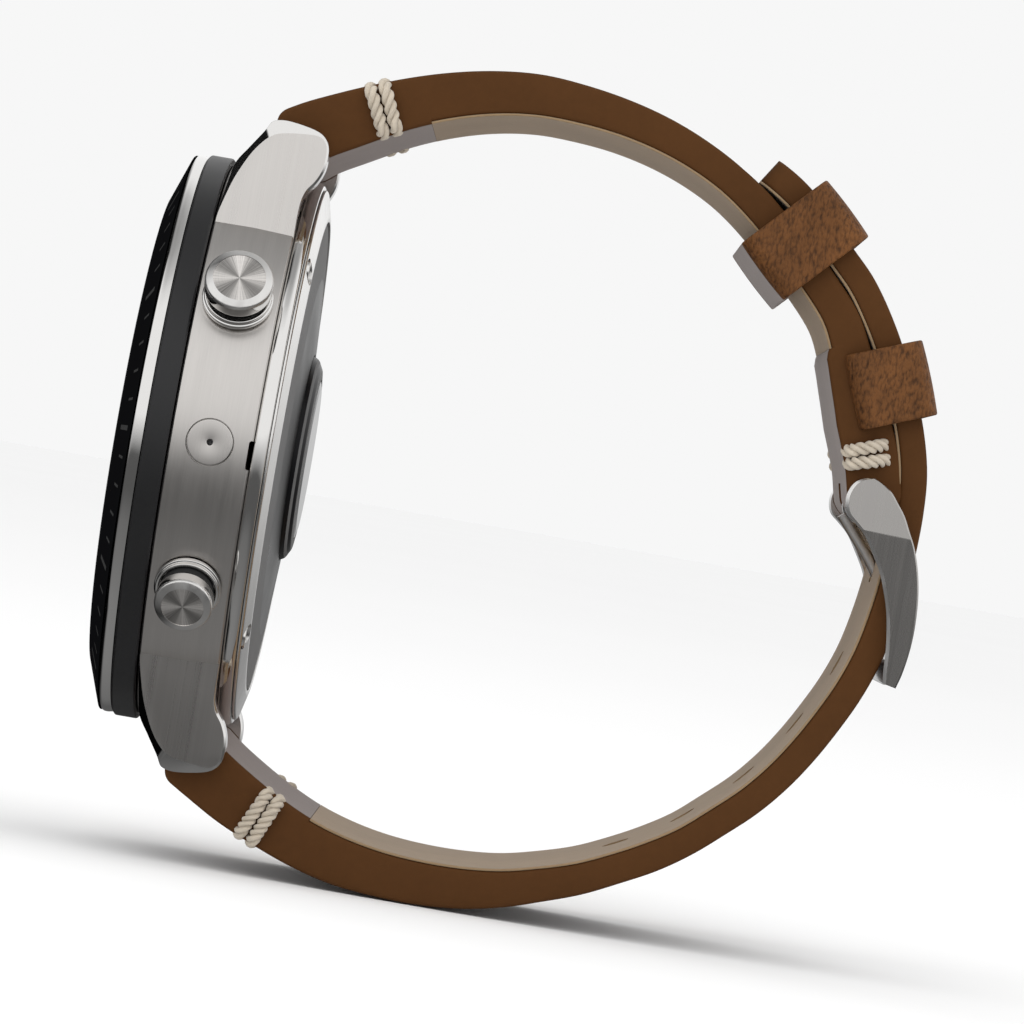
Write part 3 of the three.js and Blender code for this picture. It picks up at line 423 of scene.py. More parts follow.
def offset_loop(loop, distance):
    """A closed (y, z) loop moved outwards by distance, along the mean of its sides' normals."""
    loop = np.asarray(loop, float)
    side = np.roll(loop, -1, axis=0) - loop
    side /= np.linalg.norm(side, axis=1, keepdims=True)
    normal = np.stack([side[:, 1], -side[:, 0]], axis=1)
    mean = normal + np.roll(normal, 1, axis=0)
    mean /= np.linalg.norm(mean, axis=1, keepdims=True)
    stretch = 1 / np.clip(np.einsum("ij,ij->i", mean, normal), 0.5, 1)
    area = np.sum(loop[:, 0] * np.roll(loop[:, 1], -1) - np.roll(loop[:, 0], -1) * loop[:, 1])
    return loop + mean * stretch[:, None] * distance * np.sign(area)


def bevel(piece, width, segments=2, angle=25.0):
    """A small rounding on the piece's sharp edges."""
    modifier = piece.modifiers.new("edges", "BEVEL")
    modifier.width = width * MM
    modifier.segments = segments
    modifier.limit_method = "ANGLE"
    modifier.angle_limit = np.radians(angle)
    return piece


def cut(piece, cutters, sharp=32.0):
    """The piece with the cutters taken away, as a finished mesh."""
    for cutter in cutters:
        modifier = piece.modifiers.new("cut", "BOOLEAN")
        modifier.operation = "DIFFERENCE"
        modifier.solver = "EXACT"
        modifier.object = cutter
    graph = bpy.context.evaluated_depsgraph_get()
    graph.update()
    mesh = bpy.data.meshes.new_from_object(piece.evaluated_get(graph))
    old = piece.data
    piece.modifiers.clear()
    piece.data = mesh
    bpy.data.meshes.remove(old)
    mesh.name = piece.name
    for cutter in cutters:
        bpy.data.objects.remove(cutter)
    mesh.shade_smooth()
    mesh.set_sharp_from_angle(angle=np.radians(sharp))
    return piece


def pin_along_x(name, radius, x0, x1, y, z, material, steps=48):
    """A cylinder along X, centred on (y, z)."""
    piece = turned(name, [(0, x0), (radius, x0), (radius, x1), (0, x1)], [material], steps, False, "X")
    return shifted(piece, (0, y, z))


def shifted(piece, by):
    """The piece's mesh moved by millimetres."""
    points = mesh_points(piece)
    set_points(piece, points + np.asarray(by, float) * MM)
    return piece


def mesh_points(piece):
    values = np.empty(len(piece.data.vertices) * 3)
    piece.data.vertices.foreach_get("co", values)
    return values.reshape(-1, 3)


def set_points(piece, points):
    piece.data.vertices.foreach_set("co", np.asarray(points, float).ravel())
    piece.data.update()


def turn_about_y(piece, angle, shift_y=0.0):
    """The piece's mesh turned from +X towards +Z by the angle, then moved along Y in millimetres."""
    points = mesh_points(piece)
    x = points[:, 0] * np.cos(angle) - points[:, 2] * np.sin(angle)
    z = points[:, 0] * np.sin(angle) + points[:, 2] * np.cos(angle)
    set_points(piece, np.stack([x, points[:, 1] + shift_y * MM, z], axis=1))
    return piece


def mirrored(points, side_x, side_z):
    """Points with X and Z multiplied by the sides' signs."""
    return np.asarray(points) * np.array([side_x, 1, side_z])


def done(piece, body, *nodes, slot=None):
    """The piece rides on the body and stands for the nodes."""
    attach(piece, body)
    if nodes:
        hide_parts(*nodes)
    return piece


# ---- Finishes ----


class Nodes:
    """Builds one material's or world's node tree."""

    def __init__(self, tree):
        self.tree = tree

    def add(self, kind, inputs=None, **settings):
        node = self.tree.nodes.new(kind)
        for key, value in settings.items():
            setattr(node, key, value)
        for key, value in (inputs or {}).items():
            if isinstance(value, bpy.types.NodeSocket):
                self.tree.links.new(value, node.inputs[key])
            else:
                node.inputs[key].default_value = value
        return node

    def math(self, operation, first, second=0.0, third=0.0):
        return self.add("ShaderNodeMath", {0: first, 1: second, 2: third}, operation=operation).outputs[0]

    def noise(self, vector, scale, detail=3.0, roughness=0.5):
        inputs = {"Vector": vector, "Scale": scale, "Detail": detail, "Roughness": roughness}
        return self.add("ShaderNodeTexNoise", inputs).outputs["Fac"]

    def stretch(self, vector, scale, turn=(0.0, 0.0, 0.0)):
        inputs = {"Vector": vector, "Scale": scale, "Rotation": turn}
        return self.add("ShaderNodeMapping", inputs).outputs[0]

    def ramp(self, factor, stops, mode="LINEAR"):
        node = self.add("ShaderNodeValToRGB", {"Fac": factor})
        ramp = node.color_ramp
        ramp.interpolation = mode
        while len(ramp.elements) < len(stops):
            ramp.elements.new(1.0)
        for element, (position, value) in zip(ramp.elements, stops):
            element.position = position
            element.color = (*value, 1.0) if isinstance(value, tuple) else (value, value, value, 1.0)
        return node.outputs["Color"]

    def range(self, value, low, high, new_low, new_high):
        inputs = {"Value": value, "From Min": low, "From Max": high, "To Min": new_low, "To Max": new_high}
        return self.add("ShaderNodeMapRange", inputs).outputs[0]

    def mix(self, factor, first, second, blend="MIX"):
        node = self.add("ShaderNodeMix", data_type="RGBA", blend_type=blend)
        for socket, value in ((node.inputs[0], factor), (node.inputs[6], first), (node.inputs[7], second)):
            if isinstance(value, bpy.types.NodeSocket):
                self.tree.links.new(value, socket)
            else:
                socket.default_value = value
        return node.outputs[2]

    def bump(self, height, strength, distance):
        inputs = {"Height": height, "Strength": strength, "Distance": distance * MM}
        return self.add("ShaderNodeBump", inputs).outputs[0]


def finish(name, base, roughness, metallic=0.0, **sockets):
    """A new material with its Principled shader; returns (material, nodes, shader, object coordinates)."""
    material = bpy.data.materials.new(name)
    material.use_nodes = True
    nodes = Nodes(material.node_tree)
    shader = material.node_tree.nodes["Principled BSDF"]
    shader.inputs["Base Color"].default_value = (*base, 1.0)
    shader.inputs["Roughness"].default_value = roughness
    shader.inputs["Metallic"].default_value = metallic
    for key, value in sockets.items():
        shader.inputs[key.replace("_", " ")].default_value = value
    place = nodes.add("ShaderNodeTexCoord").outputs["Object"]
    material.diffuse_color = (*base, 1.0)
    return material, nodes, shader, place


def shade(colour_value, factor):
    return tuple(min(1.0, part * factor) for part in colour_value) + (1.0,)


def wire(nodes, shader, **sockets):
    for key, value in sockets.items():
        nodes.tree.links.new(value, shader.inputs[key.replace("_", " ")])


def brushed(name, base, grain, roughness=0.3):
    """Brushed steel: fine lines along the grain vary the colour, the roughness and the height."""
    material, nodes, shader, place = finish(name, base, roughness, 1.0)
    lines = grain(nodes, place)
    fine = nodes.noise(lines, 1.0, 4.0, 0.65)
    broad = nodes.noise(lines, 0.16, 2.0, 0.5)
    both = nodes.math("MULTIPLY_ADD", broad, 0.5, nodes.math("MULTIPLY", fine, 0.5))
    tone = nodes.ramp(both, [(0.3, shade(base, 0.93)[:3]), (0.7, shade(base, 1.05)[:3])])
    rough = nodes.range(both, 0.3, 0.7, roughness - 0.03, roughness + 0.04)
    wire(nodes, shader, Base_Color=tone, Roughness=rough, Normal=nodes.bump(fine, 0.06, 0.02))
    return material


def around_y(nodes, place):
    """Grain that runs round the Y axis: the angle is stretched, and the height is fine."""
    parts = nodes.add("ShaderNodeSeparateXYZ", {0: place}).outputs
    angle = nodes.math("ARCTAN2", parts[2], parts[0])
    inputs = {0: nodes.math("MULTIPLY", angle, 9.0), 1: nodes.math("MULTIPLY", parts[1], 9000.0)}
    return nodes.add("ShaderNodeCombineXYZ", inputs).outputs[0]


def along_z(nodes, place):
    """Grain that runs along Z."""
    return nodes.stretch(place, (1.0, 9000.0, 45.0))


def along_arm(nodes, place):
    """Grain that runs along the buckle's arms."""
    return nodes.stretch(place, (1.0, 6500.0, 60.0), (0.35, 0.0, 0.0))


def polished(name, base, roughness=0.07):
    """Polished steel with faint handling marks in the roughness and a very slight waviness."""
    material, nodes, shader, place = finish(name, base, roughness, 1.0)
    wear = nodes.noise(nodes.stretch(place, (260.0, 260.0, 260.0)), 1.0, 5.0, 0.6)
    scratch = nodes.noise(nodes.stretch(place, (2600.0, 900.0, 160.0), (0.4, 0.2, 0.7)), 1.0, 3.0, 0.6)
    rough = nodes.range(nodes.math("MULTIPLY", wear, scratch), 0.1, 0.45, roughness * 0.7, roughness * 1.7)
    wire(nodes, shader, Roughness=rough, Normal=nodes.bump(wear, 0.05, 0.02))
    return material


def spun(name, base):
    """Spun steel: fine rings, with bright and dark wedges round the middle painted into the colour: painted
    highlights and painted shade.
    """
    material, nodes, shader, _ = finish(name, base, 0.3, 1.0, Anisotropic=0.85, Anisotropic_Rotation=0.0)
    tangent = nodes.add("ShaderNodeTangent", direction_type="UV_MAP", uv_map="surface").outputs[0]
    rings = nodes.add("ShaderNodeUVMap", uv_map="surface").outputs[0]
    lines = nodes.noise(nodes.stretch(rings, (3.0, 260.0, 1.0)), 1.0, 3.0, 0.6)
    turn = nodes.add("ShaderNodeSeparateXYZ", {0: rings}).outputs[0]
    # Painted highlights and painted shade: a noise along the turn and a sine of it make bright and dark
    # wedges in the colour, over the real fine rings.
    painted_streaks = nodes.noise(nodes.stretch(rings, (90.0, 0.0, 1.0)), 1.0, 2.0, 0.5)
    painted_fan = nodes.math("SINE", nodes.math("MULTIPLY_ADD", turn, 8 * np.pi, 0.9))
    marks = nodes.math("MULTIPLY_ADD", painted_streaks, 0.65, nodes.math("MULTIPLY", lines, 0.2))
    shown = nodes.math("MULTIPLY_ADD", painted_fan, 0.2, marks)
    tones = [(0.1, shade(base, 0.3)[:3]), (0.4, shade(base, 0.75)[:3]), (0.68, shade(base, 1.5)[:3])]
    tone = nodes.ramp(shown, tones)
    wire(nodes, shader, Base_Color=tone, Tangent=tangent, Normal=nodes.bump(lines, 0.08, 0.01))
    return material


def black_glass(name, base):
    """Deep black glass with a trace of wipe marks."""
    material, nodes, shader, place = finish(name, base, 0.04, 0.0, IOR=1.5, Specular_IOR_Level=0.5)
    smear = nodes.noise(nodes.stretch(place, (90.0, 90.0, 30.0), (0.0, 0.5, 0.0)), 1.0, 4.0, 0.6)
    wire(nodes, shader, Roughness=nodes.range(smear, 0.35, 0.75, 0.03, 0.1))
    return material


def scaled_insert(name, base):
    """Deep black with a plain minute scale: 60 short grey strokes on the slope, longer at each fifth."""
    material, nodes, shader, place = finish(name, base, 0.14, 0.0, Specular_IOR_Level=0.0)
    parts = nodes.add("ShaderNodeSeparateXYZ", {0: place}).outputs
    angle = nodes.math("ARCTAN2", parts[2], parts[0])
    across = nodes.math("MULTIPLY", parts[2], parts[2])
    radius = nodes.math("SQRT", nodes.math("MULTIPLY_ADD", parts[0], parts[0], across))

    def strokes(count, half, low, high):
        turn = nodes.math("MULTIPLY", angle, count / (2 * np.pi))
        share = nodes.math("FRACT", nodes.math("ADD", turn, 100.5))
        gap = nodes.math("ABSOLUTE", nodes.math("SUBTRACT", share, 0.5))
        narrow = nodes.math("LESS_THAN", gap, half)
        past = nodes.math("GREATER_THAN", radius, low * MM)
        before = nodes.math("LESS_THAN", radius, high * MM)
        return nodes.math("MULTIPLY", narrow, nodes.math("MULTIPLY", past, before))

    marks = nodes.math("MAXIMUM", strokes(60, 0.045, 21.3, 22.3), strokes(12, 0.017, 20.5, 22.3))
    tone = nodes.mix(marks, (*base, 1.0), (0.035, 0.035, 0.035, 1.0))
    speck = nodes.noise(nodes.stretch(place, (900.0, 900.0, 900.0)), 1.0, 2.0, 0.5)
    wire(nodes, shader, Base_Color=tone, Roughness=nodes.range(speck, 0.3, 0.7, 0.1, 0.16))
    return material


def satin(name, base, roughness, metallic=0.0, grain=0.05, size=2200.0, **sockets):
    """A fine even texture, for coated metal, moulded plastic and rubber."""
    material, nodes, shader, place = finish(name, base, roughness, metallic, **sockets)
    fine = nodes.noise(nodes.stretch(place, (size, size, size)), 1.0, 3.0, 0.6)
    broad = nodes.noise(nodes.stretch(place, (120.0, 120.0, 120.0)), 1.0, 3.0, 0.5)
    tone = nodes.ramp(broad, [(0.3, shade(base, 0.93)[:3]), (0.7, shade(base, 1.07)[:3])])
    rough = nodes.range(broad, 0.3, 0.7, roughness - 0.04, roughness + 0.05)
    wire(nodes, shader, Base_Color=tone, Roughness=rough, Normal=nodes.bump(fine, grain * 4, 0.02))
    return material


def grained(name, base, roughness, cell, depth, wrinkles):
    """Leather: small grains between creases, slanting wrinkles, painted shade in the creases with painted
    highlight on the raised grain, and broad patches that are lighter where they rise.
    """
    material, nodes, shader, place = finish(name, base, roughness, 0.0, Specular_IOR_Level=0.22)
    cells = nodes.add(
        "ShaderNodeTexVoronoi",
        {
            "Vector": nodes.stretch(place, (1.0, 1.0, 0.62), (0.9, 0.2, 0.0)),
            "Scale": 1000.0 / cell,
            "Smoothness": 0.5,
        },
        feature="SMOOTH_F1",
    ).outputs["Distance"]
    crinkle = nodes.noise(nodes.stretch(place, (5200.0, 5200.0, 1500.0), (0.85, 0.1, 0.0)), 1.0, 4.0, 0.65)
    broad = nodes.noise(nodes.stretch(place, (260.0, 260.0, 140.0), (0.85, 0.0, 0.0)), 1.0, 4.0, 0.6)
    fold = nodes.math("MULTIPLY", crinkle, wrinkles * 1.3)
    height = nodes.math("MULTIPLY_ADD", cells, -0.8, nodes.math("MULTIPLY_ADD", broad, 0.8, fold))
    spots = nodes.ramp(broad, [(0.28, shade(base, 0.8)[:3]), (0.5, base), (0.74, shade(base, 1.3)[:3])])
    # Painted shade and painted highlight: the colour darkens where the grain and wrinkles sink and lightens
    # where they rise.
    depths = nodes.math("MULTIPLY_ADD", crinkle, 0.8 * wrinkles, nodes.math("MULTIPLY", cells, -0.35))
    painted_crease_shade = nodes.ramp(depths, [(0.12, 0.45), (0.42, 1.2)])
    tone = nodes.mix(1.0, spots, painted_crease_shade, "MULTIPLY")
    rough = nodes.range(broad, 0.3, 0.7, roughness + 0.06, roughness - 0.08)
    wire(nodes, shader, Base_Color=tone, Roughness=rough, Normal=nodes.bump(height, 0.8, depth))
    return material


def burnished(name, base):
    """Painted and burnished leather edge: an even coat over faint fibres."""
    material, nodes, shader, place = finish(name, base, 0.62, 0.0, Specular_IOR_Level=0.08)
    fibre = nodes.noise(nodes.stretch(place, (1500.0, 1500.0, 1500.0)), 1.0, 4.0, 0.6)
    broad = nodes.noise(nodes.stretch(place, (110.0, 110.0, 110.0)), 1.0, 3.0, 0.5)
    mixed = nodes.math("MULTIPLY_ADD", fibre, 0.4, nodes.math("MULTIPLY", broad, 0.6))
    tone = nodes.ramp(mixed, [(0.3, shade(base, 0.9)[:3]), (0.7, shade(base, 1.1)[:3])])
    wire(nodes, shader, Base_Color=tone, Normal=nodes.bump(fibre, 0.25, 0.03))
    return material


def napped(name, base, roughness=0.85, sheen=0.25, size=1500.0, patches=0.15):
    """Split leather and lining: short nap, faint fibres and uneven patches."""
    sockets = {"Specular_IOR_Level": 0.25, "Sheen_Weight": sheen}
    material, nodes, shader, place = finish(name, base, roughness, 0.0, **sockets)
    shader.inputs["Sheen Roughness"].default_value = 0.6
    fibre = nodes.noise(nodes.stretch(place, (size, size, size)), 1.0, 5.0, 0.7)
    patch = nodes.noise(nodes.stretch(place, (140.0, 140.0, 140.0)), 1.0, 4.0, 0.6)
    mixed = nodes.math("MULTIPLY_ADD", fibre, 0.45, nodes.math("MULTIPLY", patch, 0.55))
    tone = nodes.ramp(mixed, [(0.3, shade(base, 1 - patches)[:3]), (0.7, shade(base, 1 + patches)[:3])])
    wire(nodes, shader, Base_Color=tone, Normal=nodes.bump(fibre, 0.5, 0.05))
    return material


def twisted(name, base):
    """Waxed cotton rope: fibres along each strand from the UV map."""
    material, nodes, shader, place = finish(name, base, 0.8, 0.0, Specular_IOR_Level=0.25, Sheen_Weight=0.3)
    strand = nodes.add("ShaderNodeUVMap", uv_map="surface").outputs[0]
    fibre = nodes.noise(nodes.stretch(strand, (5.0, 30.0, 1.0)), 1.0, 4.0, 0.7)
    patch = nodes.noise(nodes.stretch(place, (700.0, 700.0, 700.0)), 1.0, 3.0, 0.6)
    mixed = nodes.math("MULTIPLY_ADD", fibre, 0.5, nodes.math("MULTIPLY", patch, 0.5))
    tone = nodes.ramp(mixed, [(0.3, shade(base, 0.8)[:3]), (0.7, shade(base, 1.15)[:3])])
    wire(nodes, shader, Base_Color=tone, Normal=nodes.bump(fibre, 0.6, 0.05))
    return material


FINISHES = {}


def make_finishes(colours):
    """Every finish of the watch, by name."""
    steel, bright = tuple(colours.steel), tuple(colours.polished)
    FINISHES.update(
        case=brushed("brushed_case", steel, around_y),
        lug=brushed("brushed_lug", steel, along_z, 0.28),
        # Painted shade: the arms take the case's steel darkened to 0.7, a darker copy of the same steel.
        arm=brushed("brushed_arm", tuple(0.7 * part for part in steel), along_arm, 0.26),
        chamfer=polished("satin_chamfer", bright, 0.32),
        polished=polished("polished_steel", bright),
        tip=polished("polished_tip", bright, 0.16),
        spun=spun("spun_steel", steel),
        glass=black_glass("black_glass", tuple(colours.black)),
        insert=scaled_insert("scaled_insert", tuple(colours.black)),
        band=satin("satin_band", tuple(colours.band), 0.42, 0.3, 0.03),
        back=satin("back_grey", tuple(colours.back), 0.5, 0.0, 0.05, 1500.0, Specular_IOR_Level=0.2),
        sensor_black=satin("sensor_black", (0.006, 0.006, 0.007), 0.3, 0.0, 0.0, Specular_IOR_Level=0.12),
        rubber=satin("seal_rubber", (0.01, 0.01, 0.01), 0.7, 0.0, 0.08),
        board=satin("circuit_board", (0.012, 0.065, 0.025), 0.5, 0.0, 0.05),
        cell=satin("cell_foil", (0.5, 0.51, 0.53), 0.35, 0.6, 0.04, 700.0),
        copper=satin("copper_flex", (0.46, 0.17, 0.05), 0.3, 1.0, 0.04),
        edge=burnished("leather_edge", tuple(colours.edge)),
        leather=grained("strap_leather", tuple(colours.leather), 0.6, 0.5, 0.05, 0.5),
        keeper=grained("keeper_leather", tuple(colours.keeper), 0.55, 0.27, 0.11, 1.3),
        flesh=napped("turned_leather", tuple(colours.flesh)),
        lining=napped("lining_leather", tuple(colours.lining), 0.7, 0.15, 1300.0, 0.12),
        rope=twisted("waxed_rope", tuple(colours.rope)),
    )


# ---- Operators ----


class WATCH_OT_finishes(Operator):
    """Makes the finishes and puts them on the CAD pieces that keep their shape.

    The inner pieces, spring bars and springs stay as they are and only change their finish.
    """

    bl_idname = "watch.finishes"
    bl_label = "Finishes and inner pieces"

    def execute(self, context):
        make_finishes(context.scene.watch_colours)
        kept = {
            "rubber": ["front_gasket", "back_gasket"],
            "glass": ["display_panel", "speaker"],
            "board": ["sensor_board", "main_board"],
            "copper": ["charging_coil", "key_flex"],
            "band": ["chassis"],
            "cell": ["battery", "haptic_motor", "microphone"],
            "tip": [
                f"bar_{bar}_{part}"
                for bar in ("12", "6", "buckle")
                for part in ("tip_right", "tip_left", "tube")
            ],
            "polished": [f"pusher_{label}_{part}" for label in "24" for part in ("clip", "spring")],
        }
        for name, nodes in kept.items():
            for node in nodes:
                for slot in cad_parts[node].material_slots:
                    slot.material = FINISHES[name]
        return {"FINISHED"}


class WATCH_OT_front(Operator):
    """Front glass, bezel insert, bezel ring and dark band, each a rounded profile turned round Y."""

    bl_idname = "watch.front"
    bl_label = "Glass and bezel"

    def execute(self, context):
        sizes = context.scene.watch_case
        glass, insert = mm(sizes.glass_radius), mm(sizes.insert_radius)
        bezel, accent = mm(sizes.bezel_radius), mm(sizes.accent_radius)
        r = np.linspace(0, glass - 0.35, 24)
        face = np.stack([r, GLASS_FRONT - 0.04 * (1 - (r / glass) ** 2)], axis=1)
        rim = rounded([(glass - 0.35, GLASS_FRONT), (glass, GLASS_FRONT + 0.06), (glass, -13.6), (0, -13.6)],
                      0.08, 4, False)
        done(turned("glass_front", np.vstack([face, rim]), [FINISHES["glass"]], closed=False),
             "case", "front_glass", slot="black_glass")
        profile = rounded([
            (glass + 0.05, GLASS_FRONT + 0.08), (glass + 0.12, GLASS_FRONT + 0.06),
            (insert - 0.04, INSERT_BACK - 0.1), (insert, INSERT_BACK - 0.05), (insert, INSERT_BACK),
            (glass + 0.05, INSERT_BACK),
        ], [0.02, 0.04, 0.04, 0.02, 0.02, 0.02])
        done(turned("insert_scale", finer(profile, 0.6, True), [FINISHES["insert"]]),
             "case", "bezel_insert", slot="black_gloss")
        profile = rounded([
            (CAVITY_RADIUS, INSERT_BACK + 0.03), (insert - 0.1, INSERT_BACK + 0.03),
            (bezel - 0.02, INSERT_BACK + 0.22), (bezel, -12.62), (bezel - 0.1, BEZEL_BACK),
            (CAVITY_RADIUS, BEZEL_BACK),
        ], [0.02, 0.1, 0.12, 0.3, 0.06, 0.02])
        bezel_ring = turned("bezel_polished", profile, [FINISHES["polished"]])
        done(bezel_ring, "case", "bezel_ring", slot="polished_steel")
        profile = rounded([
            (20.7, BEZEL_BACK + 0.05), (accent - 0.12, BEZEL_BACK + 0.05), (accent, BEZEL_BACK + 0.18),
            (accent, ACCENT_BACK - 0.12), (accent - 0.1, ACCENT_BACK), (20.7, ACCENT_BACK),
        ], [0.02, 0.06, 0.06, 0.06, 0.06, 0.02])
        done(turned("band_dark", profile, [FINISHES["band"]]), "case", "accent_band", slot="dark_band")
        return {"FINISHED"}


class WATCH_OT_case(Operator):
    """Middle case: a rounded barrel turned round Y, with the pusher bores, microphone seat, vent
    and speaker slots taken out."""

    bl_idname = "watch.case"
    bl_label = "Middle case"

    def execute(self, context):
        sizes = context.scene.watch_case
        radius = mm(sizes.case_radius)
        inner = [(CAVITY_RADIUS, -3.1), (CAVITY_RADIUS, -11.6), (20.6, -11.6), (20.6, CASE_FRONT)]
        outer = [
            (radius - 0.1, CASE_FRONT), (radius - 0.02, CASE_FRONT + 0.1), (radius, PUSHER_Y),
            (radius - 0.1, CASE_BACK - 0.12), (radius - 0.3, CASE_BACK), (21.6, CASE_BACK), (21.6, -3.1),
        ]
        profile = rounded(inner + outer, [0.02] * 4 + [0.02, 0.06, 0.4, 0.06, 0.04, 0.02, 0.02])
        barrel = turned("case_barrel", finer(profile, 0.55, True), [FINISHES["case"]], 288)
        steel = FINISHES["case"]
        cutters = []
        for side in (1, -1):
            bore = pin_along_x("bore", 2.6, 17, 27, 0, 0, steel)
            cutters.append(turn_about_y(bore, side * np.radians(30), PUSHER_Y))
        cutters.append(pin_along_x("seat", 1.9, radius - 0.9, 26, -6.93, 0, steel))
        cutters.append(pin_along_x("sound", 0.5, 17, 26, -6.93, 0, steel, 24))
        cutters.append(slot_cutter("vent", 22, 0.42, 2.3, CASE_BACK - 0.1, -0.5, steel))
        for step in (-1, 0, 1):
            cutters.append(slot_cutter("sound_slot", -22, 0.6, 3.0, -6.9, step * 4, steel))
        cut(barrel, cutters)
        done(barrel, "case", "mid_case", slot="brushed_steel")
        disc = rounded([
            (0.24, radius - 0.85), (1.8, radius - 0.85), (1.8, radius + 0.02), (0.24, radius + 0.02),
        ], [0.02, 0.02, 0.07, 0.05])
        plate = turned("sound_disc", disc, [FINISHES["lug"]], 96, True, "X")
        done(shifted(plate, (0, -6.93, 0)), "case", "mic_disc", slot="brushed_steel")
        return {"FINISHED"}


def slot_cutter(name, x, height, width, y, z, material):
    """A slot with round ends, cut along X at (y, z): height along Y and width along Z."""
    half = height / 2
    turn = np.linspace(0, np.pi, 9)
    top = np.stack([half * np.cos(turn), width / 2 - half + half * np.sin(turn)], axis=1)
    loop = np.vstack([top, -top]) + (y, z)
    loops = [np.column_stack([np.full(len(loop), x + end), loop]) for end in (-3, 3)]
    return loops_mesh(name, loops, [material])


class WATCH_OT_lugs(Operator):
    """Four lugs. Each is a stack of (y, z) loops at rising distances from the middle: the inner
    side, the body, the foot of the bevel and the facet, whose distance falls with height by the lean."""

    bl_idname = "watch.lugs"
    bl_label = "Lugs"

    def execute(self, context):
        sizes = context.scene.watch_case
        facet, body = smooth_path(LUG_FACET, 4), smooth_path(LUG_BODY, 4)
        depth = np.clip(np.linalg.norm(body - facet, axis=1), 0.06, mm(sizes.lug_bevel))
        depth *= 1 - 0.62 * np.clip((body[:, 1] - 24.9) / 0.7, 0, 1)
        lean = np.tan(sizes.lug_lean)
        outer = mm(sizes.lug_outer) - (facet[:, 1] - 17.6) * lean
        inner = mm(sizes.lug_inner)
        heights = [
            (offset_loop(body, -0.12), np.full(len(body), inner)),
            (body, np.full(len(body), inner + 0.14)),
            (body, outer - depth),
            (facet, outer),
        ]
        rows = [np.column_stack([x, loop]) for loop, x in heights]
        count = len(facet)
        indices = np.concatenate([np.ones(2 * count, int), np.ones(count, int)])
        for side_x in (1, -1):
            for side_z in (1, -1):
                loops = np.stack([mirrored(row, side_x, side_z) for row in rows])
                name = f"lug_{'12' if side_z > 0 else '6'}_{'right' if side_x > 0 else 'left'}"
                finishes = [FINISHES["lug"], FINISHES["polished"]]
                piece = loops_mesh(name, loops, finishes, indices, 22.0, (1, 0))
                ends = sorted((side_x * 10, side_x * 12.6))
                hole = pin_along_x("hole", 0.6, ends[0], ends[1],
                                   LUG_BAR[0], side_z * LUG_BAR[1], FINISHES["polished"], 32)
                cut(piece, [hole], 22.0)
                bevel(piece, 0.05)
                done(piece, "case", slot="brushed_steel")
        return {"FINISHED"}


